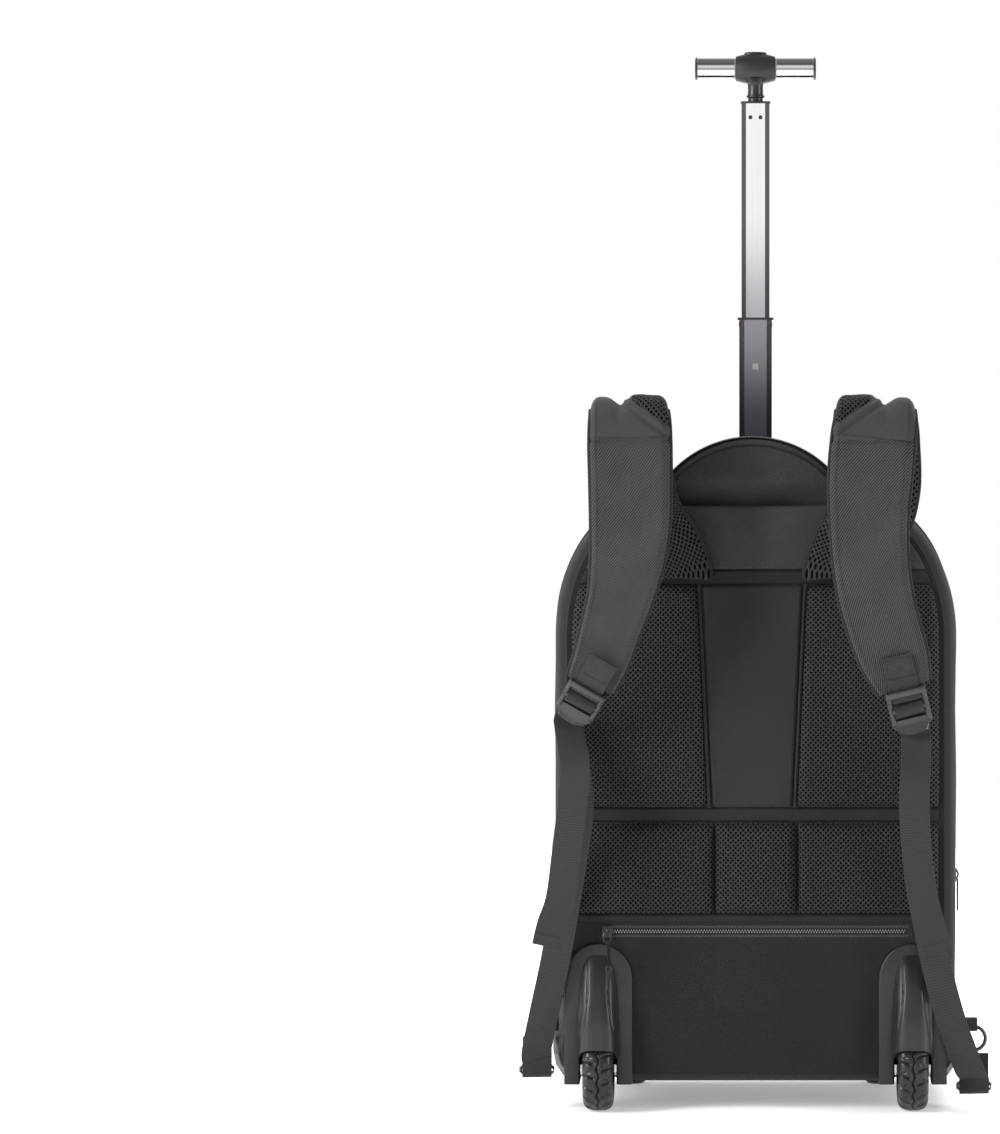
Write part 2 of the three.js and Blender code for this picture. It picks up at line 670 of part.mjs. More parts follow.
add('upper_tube', 'silver', tube(UPPER_WIDE, UPPER_DEEP, TUBE_WALL, UPPER_TOP - UPPER_LENGTH, UPPER_TOP));
const upperFace = POLE_Y - UPPER_DEEP / 2;
for (const side of SIDES) {
  const rivet = new THREE.CylinderGeometry(RIVET_RADIUS, RIVET_RADIUS, 1, 12)
    .translate((side.sign * RIVET_PITCH) / 2, upperFace - GAP - 0.5, UPPER_TOP - RIVET_DROP);
  add(`rivet_${side.name}`, 'chrome', rivet);
}

// The grip: a plug in the tube's mouth, a neck, and a barrel that carries the two bars.
const CAP_HEIGHT = 2;
const gripZ = UPPER_TOP + CAP_HEIGHT + NECK_HEIGHT + BAR_RADIUS;
const hubHalf = HUB_WIDTH / 2;
const neck = turnedZ([
  [0, 0], [0, NECK_RADIUS + 1.5], [3, NECK_RADIUS + 1.5], [4, NECK_RADIUS], [NECK_HEIGHT - 4, NECK_RADIUS],
  [NECK_HEIGHT, NECK_RADIUS + 2.5], [NECK_HEIGHT + 4, NECK_RADIUS + 2.5], [NECK_HEIGHT + 4, 0],
], 14).translate(0, POLE_Y, UPPER_TOP + CAP_HEIGHT - 0.2);
const barrel = turnedX([
  [-hubHalf, 0], [-hubHalf, HUB_RADIUS - 1.8], [-hubHalf + 4, HUB_RADIUS - 0.6],
  [-hubHalf / 3, HUB_RADIUS + 1], [hubHalf / 3, HUB_RADIUS + 1],
  [hubHalf - 4, HUB_RADIUS - 0.6], [hubHalf, HUB_RADIUS - 1.8], [hubHalf, 0],
], 18).translate(0, POLE_Y, gripZ);
const plug = UPPER_WIDE - 2 * (TUBE_WALL + GAP);
const plugDeep = UPPER_DEEP - 2 * (TUBE_WALL + GAP);

function oval(grow, lowZ, highZ) {
  const steps = 20;
  const rings = [lowZ, highZ].map((z) => Array.from({ length: steps }, (unused, i) => {
    const angle = (2 * Math.PI * i) / steps;
    const y = POLE_Y + (BUTTON_DEEP / 2 + grow) * Math.sin(angle);
    return new THREE.Vector3((BUTTON_WIDE / 2 + grow) * Math.cos(angle), y, z);
  }));
  return solid(loft(rings));
}

const hubTop = gripZ + HUB_RADIUS + 1;
const buttonLow = hubTop - 3;
const BUTTON_PROUD = 1.5;
const grip = solid(neck).add(solid(barrel))
  .add(bar(UPPER_WIDE + 1.4, UPPER_DEEP + 1.4, UPPER_TOP + GAP, UPPER_TOP + CAP_HEIGHT))
  .add(bar(plug, plugDeep, UPPER_TOP - 8, UPPER_TOP + 1))
  .subtract(oval(GAP, buttonLow - BUTTON_TRAVEL - GAP, FAR));
add('handle_hub', 'plastic', grip);
add('push_button', 'plastic', oval(0, buttonLow, hubTop + BUTTON_PROUD));

const barFrom = hubHalf + GAP;
const barTo = HANDLE_WIDTH / 2 - END_CAP;
for (const side of SIDES) {
  const place = (geometry) => geometry.scale(side.sign, 1, 1).translate(0, POLE_Y, gripZ);
  const rod = turnedX([[barFrom, 0], [barFrom, BAR_RADIUS], [barTo, BAR_RADIUS], [barTo, 0]], 20);
  add(`grip_bar_${side.name}`, 'chrome', place(rod));
  add(`grip_cap_${side.name}`, 'plastic', place(turnedX([
    [barTo + GAP, 0], [barTo + GAP, BAR_RADIUS + 0.4], [barTo + END_CAP - 0.7, BAR_RADIUS + 0.4],
    [barTo + END_CAP, BAR_RADIUS - 1], [barTo + END_CAP, 0],
  ], 20)));
}

// Harness

// Rows of [across, as a share of the half width; out, as a share of the reach from the back panel;
// up, as a share of the bag's height; width and thickness, as shares of the strap's own].
const STRAP_PATHS = {
  left: [
    [-0.42, 0.1, 0.872, 1.0, 0.6], [-0.425, 0.11, 0.884, 1.0, 0.7], [-0.47, 0.13, 0.92, 1, 0.85],
    [-0.56, 0.16, 0.97, 1, 1], [-0.61, 0.18, 1.03, 1, 1], [-0.62, 0.22, 1.1, 0.99, 1],
    [-0.622, 0.3, 1.145, 0.98, 1], [-0.622, 0.46, 1.168, 0.96, 1], [-0.62, 0.66, 1.168, 0.96, 1],
    [-0.617, 0.84, 1.145, 0.98, 1], [-0.615, 0.93, 1.1, 1, 1], [-0.612, 0.98, 1.04, 0.99, 1],
    [-0.612, 1, 0.97, 0.97, 1], [-0.63, 1, 0.9, 0.89, 1], [-0.665, 0.98, 0.84, 0.78, 1],
    [-0.71, 0.94, 0.79, 0.72, 1], [-0.755, 0.88, 0.74, 0.68, 0.95], [-0.808, 0.82, 0.695, 0.62, 0.7],
  ],
  right: [
    [0.44, 0.1, 0.872, 1.0, 0.6], [0.445, 0.11, 0.884, 1.0, 0.7], [0.49, 0.13, 0.92, 1.02, 0.85],
    [0.56, 0.16, 0.97, 1.04, 1], [0.6, 0.18, 1.03, 1.05, 1], [0.6, 0.22, 1.1, 1.03, 1],
    [0.595, 0.3, 1.145, 1, 1], [0.592, 0.46, 1.168, 0.98, 1], [0.59, 0.66, 1.168, 0.98, 1],
    [0.588, 0.84, 1.145, 1, 1], [0.575, 0.93, 1.1, 1.02, 1], [0.56, 0.98, 1.04, 1.01, 1],
    [0.555, 1, 0.97, 0.95, 1], [0.565, 1, 0.9, 0.92, 1], [0.59, 0.98, 0.84, 0.9, 1],
    [0.635, 0.94, 0.785, 0.87, 1], [0.685, 0.88, 0.735, 0.82, 0.95], [0.728, 0.82, 0.69, 0.66, 0.7],
  ],
};

const harnessY = BACK_Y - 2 * GAP - BINDING_THICK;

function strapSections(side) {
  return STRAP_PATHS[side.name].map(([across, out, up, width, thick]) => ({
    at: new THREE.Vector3(across * HALF, harnessY - out * STRAP_REACH, BAG_BOTTOM + up * BAG_HEIGHT),
    width: width * STRAP_WIDTH,
    thick: thick * STRAP_THICK,
  }));
}

// Turn of each buckle in the plane of the back, and how far it leans back, as the strap's pull sets it.
const BUCKLE_LIE = { left: { turn: -0.52, lean: 0.5 }, right: { turn: 0.24, lean: 0.22 } };

// A frame with u across the strap, v down along it and w towards the viewer.
function buckleFrame(side, end) {
  const { turn, lean } = BUCKLE_LIE[side.name];
  const across = new THREE.Vector3(Math.cos(turn), 0, Math.sin(turn));
  const down = new THREE.Vector3(Math.sin(turn), lean, -Math.cos(turn)).normalize();
  const out = down.clone().cross(across).normalize();
  const origin = end.clone().addScaledVector(down, 4);
  const matrix = new THREE.Matrix4().makeBasis(across, down, out).setPosition(origin);
  const point = (v, w) => ({ at: new THREE.Vector3(0, v, w).applyMatrix4(matrix), across });
  return { matrix, point };
}

const TAB_LENGTH = 34;
const slotHalf = WEB_WIDTH / 2 + 1.2;
const slotTop = BUCKLE_BAR;
const slotLow = slotTop + 8;
const centreBarLow = slotLow + BUCKLE_BAR;
const lipTop = centreBarLow + 6.5;

function buckleGeometry() {
  const half = BUCKLE_WIDTH / 2;
  const shape = new THREE.Shape(vectors([
    [half - 2, 0], [half, 3], [half, lipTop + 2], [half - 6, BUCKLE_LENGTH],
    [6 - half, BUCKLE_LENGTH], [-half, lipTop + 2], [-half, 3], [2 - half, 0],
  ]));
  for (const [from, to] of [[slotTop, slotLow], [centreBarLow, lipTop]]) {
    shape.holes.push(new THREE.Path(rectangle(-slotHalf, slotHalf, from, to)));
  }
  return new THREE.ExtrudeGeometry(shape, { depth: BUCKLE_THICK, bevelEnabled: false })
    .translate(0, 0, -BUCKLE_THICK / 2);
}

const ringX = HALF + 15;
const ringY = BACK_Y + RING_SETBACK;
const yokeY = ringY - SNAP_RADIUS;

// Rows of [across, as a share of the half width; out, as a share of the strap's reach; height over the floor, as a
// share of the buckle's height], from below the buckle down.
const TAIL_PATHS = {
  left: [
    [-0.886, 0.86, 0.9], [-0.894, 0.9, 0.81], [-0.924, 0.9, 0.68],
    [-0.955, 0.88, 0.56], [-1.0, 0.86, 0.45], [-1.03, 0.85, 0.4],
  ],
  right: [
    [0.785, 0.86, 0.9], [0.775, 0.9, 0.83], [0.79, 0.9, 0.7],
    [0.82, 0.88, 0.58], [0.87, 0.86, 0.47], [0.906, 0.85, 0.405],
  ],
};
const LOAD_PATHS = {
  left: [
    [-0.87, 0.55, 0.8], [-0.9, 0.4, 0.66], [-0.945, 0.25, 0.52],
    [-0.995, 0.14, 0.38], [-1.05, 0.04, 0.25], [-1.09, -0.1, 0.15],
  ],
  right: [
    [0.785, 0.55, 0.8], [0.8, 0.44, 0.66], [0.835, 0.38, 0.54],
    [0.89, 0.34, 0.4], [0.965, 0.27, 0.25], [1.055, 0.07, 0.12],
  ],
};
// Height of each snap hook's bar over the floor.
const HOOK_Z = { left: 32, right: 18 };

function routePoint(side, [across, out, up], topZ) {
  return { at: new THREE.Vector3(across * HALF, harnessY - out * STRAP_REACH, up * topZ) };
}

function webbing(points) {
  return ribbon(points.map(({ at, across }) => ({ at, across, width: WEB_WIDTH, thick: WEB_THICK })), FLAT);
}

// A D-ring in a sewn tab on the gusset, and the snap hook that holds the webbing's folded end to it.
function ring(side, clear = 0) {
  return solid(new THREE.TorusGeometry(RING_RADIUS, RING_WIRE + clear, 6, 18).rotateX(Math.PI / 2)
    .translate(side.sign * ringX, ringY, RING_Z));
}

function ringTab(side) {
  const ends = [side.sign * (HALF - 12), side.sign * (ringX + 3)];
  const lowZ = RING_Z + RING_RADIUS - 3.4;
  const tab = block([Math.min(...ends), ringY - 4, lowZ], [Math.max(...ends), ringY + 4, lowZ + 11]);
  return tab.subtract(ring(side, GAP)).subtract(bagSolid(2 * GAP + GUARD_THICK));
}

function snapHook(side) {
  const x = side.sign * ringX;
  const snapZ = RING_Z - RING_RADIUS + RING_WIRE + SNAP_WIRE + GAP + 0.2 - SNAP_RADIUS;
  const barZ = HOOK_Z[side.name];
  const half = WEB_WIDTH / 2 + 2.5;
  const snap = solid(new THREE.TorusGeometry(SNAP_RADIUS, SNAP_WIRE, 6, 16).rotateY(Math.PI / 2)
    .translate(x, ringY, snapZ));
  const yokeTop = barZ + 7;
  const frame = block([x - half, yokeY - HOOK_BAR, barZ - HOOK_BAR], [x + half, yokeY + HOOK_BAR, yokeTop])
    .subtract(block([x - half + 2, yokeY - 9, barZ + HOOK_BAR], [x + half - 2, yokeY + 9, yokeTop - 2.4]));
  const shank = block([x - 1.6, yokeY - SNAP_WIRE, yokeTop - 0.5], [x + 1.6, yokeY + SNAP_WIRE, snapZ]);
  return snap.add(frame).add(shank);
}

for (const side of SIDES) {
  const sections = strapSections(side);
  const strap = solid(ribbon(sections, PADDED));
  const end = sections[sections.length - 1].at;
  const { matrix, point } = buckleFrame(side, end);
  const web = WEB_THICK / 2 + BUCKLE_THICK / 2 + 1.5 * GAP;
  const topZ = point(BUCKLE_LENGTH, 0).at.z;

  // The fixed tab lies on the strap, passes over the buckle's top bar and comes back through its slot.
  const tabSections = [
    [-TAB_LENGTH, 5.6], [-0.6 * TAB_LENGTH, 5.8], [-8, 4.4], [-1, web + 0.6], [slotTop, web],
    [slotTop + 2.4, 1.6], [slotTop + 2.4, -1.6], [slotTop, -web], [0.6, -web],
  ];
  const tab = webbing(tabSections.map(([v, w]) => point(v, w)));
  add(`shoulder_strap_${side.name}`, 'twill', strap);
  add(`buckle_${side.name}`, 'plastic', buckleGeometry().applyMatrix4(matrix));
  add(`strap_tab_${side.name}`, 'webbing', solid(tab).subtract(strap));

  // One length of webbing: tail in front, round the centre bar, and down behind to the hook.
  const overBar = [
    [BUCKLE_LENGTH + 6, -web - 0.9], [BUCKLE_LENGTH - 4, -web - 0.6], [lipTop, -web - 0.4],
    [lipTop - 2.8, -1.5], [centreBarLow + 2.4, 1.8], [centreBarLow - 0.2, web + 0.5],
    [slotLow + 0.6, web + 0.5], [slotLow - 2.1, 1.8], [slotLow - 2.1, -1.8],
    [slotLow + 1, -web - 2], [lipTop, -web - 3.2], [BUCKLE_LENGTH + 6, -web - 3.8],
  ].map(([v, w]) => point(v, w));
  const tail = TAIL_PATHS[side.name].map((row) => routePoint(side, row, topZ)).reverse();
  const load = LOAD_PATHS[side.name].map((row) => routePoint(side, row, topZ));
  const [hookX, hookZ] = [side.sign * ringX, HOOK_Z[side.name]];
  const round = HOOK_BAR * Math.SQRT2 + WEB_THICK / 2 + 2 * GAP;
  const fold = [[-round, 9], ...arc(0, 0, round, round, Math.PI, 2 * Math.PI, 5), [round, 4]]
    .map(([out, up]) => ({ at: new THREE.Vector3(hookX, yokeY + out, hookZ + up) }));
  add(`webbing_${side.name}`, 'webbing', webbing([...tail, ...overBar, ...load, ...fold]));
  add(`d_ring_${side.name}`, 'zinc', ring(side));
  add(`ring_tab_${side.name}`, 'webbing', ringTab(side));
  add(`snap_hook_${side.name}`, 'zinc', snapHook(side));
}

// The origin is on the floor, under the middle of the whole bag's extents.
const extents = new THREE.Box3().setFromObject(bag, true);
const middle = extents.getCenter(new THREE.Vector3());
bag.position.set(-middle.x, -middle.y, -extents.min.z);

export default bag;
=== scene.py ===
"""Wheeled backpack seen from its harness side: cloth, padding, webbing, zippers, mouldings, wheels and handle."""
import bpy
import math
from mathutils import Matrix, Vector, noise


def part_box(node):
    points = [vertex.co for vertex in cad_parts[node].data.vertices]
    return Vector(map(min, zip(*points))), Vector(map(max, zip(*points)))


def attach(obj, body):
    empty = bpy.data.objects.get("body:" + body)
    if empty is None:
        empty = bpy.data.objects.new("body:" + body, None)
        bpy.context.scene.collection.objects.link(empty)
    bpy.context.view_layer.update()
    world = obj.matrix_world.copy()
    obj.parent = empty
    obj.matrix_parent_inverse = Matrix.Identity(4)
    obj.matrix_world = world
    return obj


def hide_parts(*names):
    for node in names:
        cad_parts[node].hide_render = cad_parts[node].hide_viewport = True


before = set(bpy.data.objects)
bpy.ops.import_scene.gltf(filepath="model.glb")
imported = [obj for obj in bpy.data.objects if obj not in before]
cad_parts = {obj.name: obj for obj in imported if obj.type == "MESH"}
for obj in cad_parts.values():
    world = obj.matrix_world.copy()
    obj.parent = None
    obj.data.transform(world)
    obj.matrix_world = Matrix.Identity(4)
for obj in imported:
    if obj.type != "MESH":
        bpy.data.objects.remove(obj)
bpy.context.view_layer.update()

# Sizes in metres, read from the frame
SHELL_LOW, SHELL_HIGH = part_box("back_shell")
HALF = SHELL_HIGH.x
BACK_Y = SHELL_LOW.y
FRONT_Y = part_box("front_shell")[1].y
BOTTOM = SHELL_LOW.z
TOP = SHELL_HIGH.z
DEPTH = FRONT_Y - BACK_Y
SHOULDER_RUN = 0.075
SHOULDER_DROP = 0.115
BOTTOM_RADIUS = 0.026
PANEL_INSET = 0.011
SKIN = 0.0022
MM = 0.001

# The photograph's frame: its size in pixels, metres to a pixel, and where the bag's middle and the floor lie in it
PHOTO_WIDTH = 1000
PHOTO_HEIGHT = 1134
PIXEL = 0.00085
BAG_PIXEL_X = 755.5
FLOOR_PIXEL_Y = 1111
CAMERA_DISTANCE = 4.0
CAMERA_Z = 0.62
SENSOR = 36.0


def select_only(piece):
    bpy.ops.object.select_all(action="DESELECT")
    piece.select_set(True)
    bpy.context.view_layer.objects.active = piece


def in_edit(piece, *steps):
    """Runs mesh operators on all of a piece, each a function without arguments."""
    select_only(piece)
    bpy.ops.object.mode_set(mode="EDIT")
    select_every()
    for step in steps:
        step()
    bpy.ops.object.mode_set(mode="OBJECT")


def placed(name, data):
    """A new object in the scene that holds this data."""
    made = bpy.data.objects.new(name, data)
    bpy.context.scene.collection.objects.link(made)
    return made


def weld(distance=1e-5):
    return lambda: bpy.ops.mesh.remove_doubles(threshold=distance)


def face_out():
    bpy.ops.mesh.normals_make_consistent(inside=False)


def select_every():
    bpy.ops.mesh.select_all(action="SELECT")


def close_ends():
    bpy.ops.mesh.select_all(action="DESELECT")
    bpy.ops.mesh.select_non_manifold()
    bpy.ops.mesh.fill_holes(sides=0)
    select_every()


def modify(piece, kind, **settings):
    """Adds a modifier with these settings and applies it."""
    select_only(piece)
    modifier = piece.modifiers.new(kind.title(), kind)
    for key, value in settings.items():
        setattr(modifier, key, value)
    bpy.ops.object.modifier_apply(modifier=modifier.name)


def scale_uv(piece, width, height):
    """Makes the grid's UV map read in metres, so that a weave keeps its size."""
    for loop in piece.data.uv_layers.active.data:
        loop.uv = (loop.uv[0] * width, loop.uv[1] * height)


def surface(name, across, along, point, size=(1.0, 1.0)):
    """A grid primitive with each of its points moved to point(u, v), where u and v run from 0 to 1."""
    bpy.ops.object.select_all(action="DESELECT")
    bpy.ops.mesh.primitive_grid_add(x_subdivisions=across, y_subdivisions=along, size=1)
    piece = bpy.context.object
    piece.name = name
    piece.data.name = name
    for vertex in piece.data.vertices:
        vertex.co = point(vertex.co.x + 0.5, vertex.co.y + 0.5)
    scale_uv(piece, *size)
    return piece


def from_rows(rows):
    """point(u, v) for a surface whose rows of points are already known."""
    return lambda u, v: rows[round(v * (len(rows) - 1))][round(u * (len(rows[0]) - 1))]


def turns(count, whole=2 * math.pi):
    """The angles of count equal steps, without the last one."""
    return [whole * step / count for step in range(count)]


def straight(first, last, steps):
    """Numbers in equal steps from first to last."""
    return [first + (last - first) * step / steps for step in range(steps + 1)]


def mirrored(rows, middle=()):
    """Rows of (place, size) for one half, a middle, and the other half."""
    return [*rows, *middle, *((-place, size) for place, size in reversed(rows))]


def shade(piece, angle=40):
    select_only(piece)
    bpy.ops.object.shade_smooth_by_angle(angle=math.radians(angle))


def dress(piece, finish, slot, body="bag", angle=40, replaces=()):
    """Gives a finished piece its material, its shading and the body that it moves with; its slot argument is not used.
    """
    piece.data.materials.clear()
    piece.data.materials.append(finish)
    shade(piece, angle)
    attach(piece, body)
    if replaces:
        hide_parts(*replaces)
    return piece


def copies(name, pattern, places):
    """One mesh that holds a copy of the pattern object for each matrix in places. The pattern is used up."""
    points = [vertex.co.copy() for vertex in pattern.data.vertices]
    faces = [tuple(face.vertices) for face in pattern.data.polygons]
    all_points, all_faces = [], []
    for place in places:
        start = len(all_points)
        all_points.extend(place @ point for point in points)
        all_faces.extend(tuple(corner + start for corner in face) for face in faces)
    mesh = bpy.data.meshes.new(name)
    mesh.from_pydata(all_points, [], all_faces)
    bpy.data.objects.remove(pattern)
    return placed(name, mesh)


def join(name, pieces):
    bpy.ops.object.select_all(action="DESELECT")
    for piece in pieces:
        piece.select_set(True)
    bpy.context.view_layer.objects.active = pieces[0]
    bpy.ops.object.join()
    pieces[0].name = name
    return pieces[0]


def settle(piece):
    """Puts an object's place into its mesh."""
    select_only(piece)
    bpy.ops.object.transform_apply(location=True, rotation=True, scale=True)
    return piece


def turned(name, profile, axis, centre, steps):
    """A round piece: rows of (place along the axis, radius) spun about X or Z through centre."""

    def spun(u, v):
        row = v * (len(profile) - 1)
        first = min(int(row), len(profile) - 2)
        share = row - first
        along = profile[first][0] * (1 - share) + profile[first + 1][0] * share
        radius = profile[first][1] * (1 - share) + profile[first + 1][1] * share
        angle = 2 * math.pi * u
        ring = Vector((along, radius * math.cos(angle), radius * math.sin(angle)))
        return centre + (ring if axis == "X" else Vector((ring.y, ring.z, ring.x)))

    circumference = 2 * math.pi * max(radius for _, radius in profile)
    piece = surface(name, steps, len(profile) - 1, spun, (circumference, abs(profile[-1][0] - profile[0][0])))
    in_edit(piece, weld(), face_out)
    return piece


def smooth_path(points, count):
    """count points along a smooth curve through the given tuples of numbers."""
    path = []
    last = len(points) - 1
    for step in range(count):
        place = last * step / (count - 1)
        i = min(int(place), last - 1)
        t = place - i
        a, b, c, d = (points[max(i - 1, 0)], points[i], points[i + 1], points[min(i + 2, last)])
        path.append(tuple(
            0.5 * (2 * q + (r - p) * t + (2 * p - 5 * q + 4 * r - s) * t * t + (3 * q - p - 3 * r + s) * t ** 3)
            for p, q, r, s in zip(a, b, c, d)
        ))
    return path


def spaced(points, pitch):
    """Points pitch apart along a polyline, each with the direction of the line there."""
    places, carried = [], pitch / 2
    for first, second in zip(points, points[1:]):
        stretch = second - first
        length = stretch.length
        while carried <= length and length > 0:
            places.append((first + stretch * (carried / length), stretch.normalized()))
            carried += pitch
        carried -= length
    return places


def basis(at, along, out):
    """A matrix at a point, with X along a direction and Z as near to out as it can be."""
    side = out.cross(along).normalized()
    up = along.cross(side)
    return Matrix.Translation(at) @ Matrix((along, side, up)).transposed().to_4x4()


def bead(length, width, height):
    """A small rounded grain, used for stitches, zipper coils and the like."""
    bpy.ops.object.select_all(action="DESELECT")
    bpy.ops.mesh.primitive_uv_sphere_add(segments=6, ring_count=4, radius=0.5)
    grain = bpy.context.object
    in_edit(grain, lambda: bpy.ops.transform.rotate(value=math.pi / 2, orient_axis="Y", center_override=(0, 0, 0)),
            lambda: bpy.ops.transform.resize(value=(length, width, height), center_override=(0, 0, 0)))
    return grain


def run_lengths(points):
    total, found = 0.0, [0.0]
    for first, second in zip(points, points[1:]):
        total += (second - first).length
        found.append(total)
    return found


def measured(piece, across, along):
    """Gives each column and row of a grid's UV map its own distance, from two lists of running lengths."""
    for loop in piece.data.uv_layers.active.data:
        loop.uv = (across[round(loop.uv[0] * (len(across) - 1))], along[round(loop.uv[1] * (len(along) - 1))])


def stitches(name, points, out, pitch=3.2 * MM, size=(2.4 * MM, 0.75 * MM, 0.5 * MM)):
    """A row of thread stitches along a line, on a face that looks out."""
    places = [basis(at, along, out) for at, along in spaced(points, pitch)]
    return dress(copies(name, bead(*size), places), THREAD, "binding")


def tube_along(name, points, radius, sides=8, closed_loop=False):
    """A round cord of even thickness along points, closed at its ends unless it is a loop."""
    count = len(points)
    normals = []
    guide = Vector((0.0, -1.0, 0.0))
    for i in range(count):
        before = points[i - 1] if (i or closed_loop) else points[0]
        after = points[(i + 1) % count] if (closed_loop or i < count - 1) else points[i]
        along = (after - before).normalized()
        side = (guide - along * guide.dot(along)).normalized()
        normals.append((along, side))
        guide = side

    def skin(u, v):
        i = round(v * (count if closed_loop else count - 1)) % count
        along, side = normals[i]
        other = along.cross(side)
        angle = 2 * math.pi * u
        return points[i] + (side * math.cos(angle) + other * math.sin(angle)) * radius

    size = (2 * math.pi * radius, run_lengths(points)[-1])
    piece = surface(name, sides, count if closed_loop else count - 1, skin, size)
    in_edit(piece, weld(), *([] if closed_loop else [close_ends]), face_out)
    return piece


VIEWER = Vector((0, -1, 0))


# Materials

def new_material(name, colour, roughness, metallic=0.0, specular=0.5, **sockets):
    material = bpy.data.materials.new(name)
    material.use_nodes = True
    shader = material.node_tree.nodes["Principled BSDF"]
    shader.inputs["Base Color"].default_value = (*colour, 1)
    shader.inputs["Roughness"].default_value = roughness
    shader.inputs["Metallic"].default_value = metallic
    shader.inputs["Specular IOR Level"].default_value = specular
    for key, value in sockets.items():
        shader.inputs[key.replace("_", " ").title()].default_value = value
    return material, shader


def add_node(material, kind, settings=None, **inputs):
    made = material.node_tree.nodes.new(kind)
    for key, value in (settings or {}).items():
        setattr(made, key, value)
    for key, value in inputs.items():
        feed(material, made.inputs[key.replace("_", " ").title()], value)
    return made


def link(material, source, target):
    material.node_tree.links.new(source, target)


def coordinates(material, source, scale, turn=0.0):
    """Texture coordinates in metres, from the UV map or the object, scaled and turned about Z."""
    place = add_node(material, "ShaderNodeTexCoord")
    mapping = add_node(material, "ShaderNodeMapping", Vector=place.outputs[source],
                       Scale=scale, Rotation=(0, 0, turn))
    return mapping.outputs["Vector"]


def feed(material, socket, value):
    """Gives a socket another node's output, or a constant."""
    if isinstance(value, bpy.types.NodeSocket):
        link(material, value, socket)
    else:
        socket.default_value = value


def blend_colours(material, factor, low, high, mode="MIX"):
    made = add_node(material, "ShaderNodeMix", {"data_type": "RGBA", "blend_type": mode})
    for place, value in ((0, factor), (6, low), (7, high)):
        feed(material, made.inputs[place], (*value, 1) if isinstance(value, tuple) else value)
    return made.outputs[2]


def maths(material, operation, *values):
    made = add_node(material, "ShaderNodeMath", {"operation": operation})
    for socket, value in zip(made.inputs, values):
        feed(material, socket, value)
    return made.outputs[0]


def remap(material, value, low, high, to_low=0.0, to_high=1.0, curve="LINEAR"):
    made = add_node(material, "ShaderNodeMapRange", {"interpolation_type": curve}, value=value,
                    from_min=low, from_max=high, to_min=to_low, to_max=to_high)
    return made.outputs[0]


def times(colour, share):
    return tuple(c * share for c in colour)


def bump(material, shader, height, distance, strength=1.0):
    made = add_node(material, "ShaderNodeBump", Strength=strength, Distance=distance, Height=height)
    link(material, made.outputs["Normal"], shader.inputs["Normal"])


def mottle(material, source, scale, low, high):
    """A soft cloudy variation between low and high."""
    cloud = add_node(material, "ShaderNodeTexNoise", Vector=coordinates(material, source, (1, 1, 1)),
                     Scale=scale, Detail=3.0)
    return remap(material, cloud.outputs[0], 0.3, 0.7, low, high)


def wave(material, vector, pitch, direction="X"):
    """Bands with the given pitch in metres."""
    band_scale = 0.1 * math.pi / pitch
    made = add_node(material, "ShaderNodeTexWave", {"wave_type": "BANDS", "bands_direction": direction},
                    Vector=vector, Scale=band_scale)
    return made.outputs["Fac"]


def twill(name, colour, pitch=1.2 * MM, turn=math.radians(38), contrast=0.4, depth=0.3 * MM, thread_share=0.45):
    """Cloth with fine diagonal ribs crossed by a finer thread."""
    material, shader = new_material(name, colour, 0.75, specular=0.16, sheen_weight=0.06, sheen_roughness=0.5)
    place = coordinates(material, "UV", (1, 1, 1), turn)
    ribs = wave(material, place, pitch)
    thread = wave(material, place, pitch * 0.75, "Y")
    weave = maths(material, "MULTIPLY_ADD", thread, thread_share, ribs)
    cloud = mottle(material, "UV", 28.0, 0.0, 0.12)
    total = maths(material, "ADD", maths(material, "MULTIPLY", weave, 0.65), cloud)
    low, high = times(colour, 1 - contrast), times(colour, 1 + contrast)
    link(material, blend_colours(material, total, low, high), shader.inputs["Base Color"])
    bump(material, shader, weave, depth, 0.8)
    return material


def air_mesh(name, colour, pitch=3.0 * MM):
    """Spacer mesh: a knit with rows of small open eyes, each row half a step across from the last."""
    material, shader = new_material(name, colour, 0.7, specular=0.22, sheen_weight=0.05)
    place = coordinates(material, "UV", (1 / pitch, 1 / pitch, 1), math.radians(45))
    eyes = add_node(material, "ShaderNodeTexVoronoi", {"voronoi_dimensions": "2D"}, Vector=place,
                    Scale=1.0, Randomness=0.12)
    rim = remap(material, eyes.outputs["Distance"], 0.25, 0.43, curve="SMOOTHSTEP")
    fine = wave(material, coordinates(material, "UV", (1, 1, 1)), 0.9 * MM)
    knit = maths(material, "MULTIPLY_ADD", fine, 0.12, rim)
    link(material, blend_colours(material, rim, times(colour, 0.05), colour), shader.inputs["Base Color"])
    link(material, maths(material, "MULTIPLY", rim, 0.3), shader.inputs["Specular IOR Level"])
    bump(material, shader, knit, 1.2 * MM, 0.9)
    return material


def ribbed(name, colour, pitch=1.1 * MM, source="UV", direction="Y"):
    """Webbing and binding: fine ribs across their length."""
    material, shader = new_material(name, colour, 0.7, specular=0.2, sheen_weight=0.05)
    place = coordinates(material, source, (1, 1, 1))
    ribs = wave(material, place, pitch, direction)
    other = wave(material, place, pitch * 1.3, "X" if direction == "Y" else "Y")
    weave = maths(material, "MULTIPLY_ADD", other, 0.2, ribs)
    tone = blend_colours(material, maths(material, "MULTIPLY", weave, 0.8), times(colour, 0.7), times(colour, 1.25))
    link(material, tone, shader.inputs["Base Color"])
    bump(material, shader, weave, 0.22 * MM, 0.7)
    return material


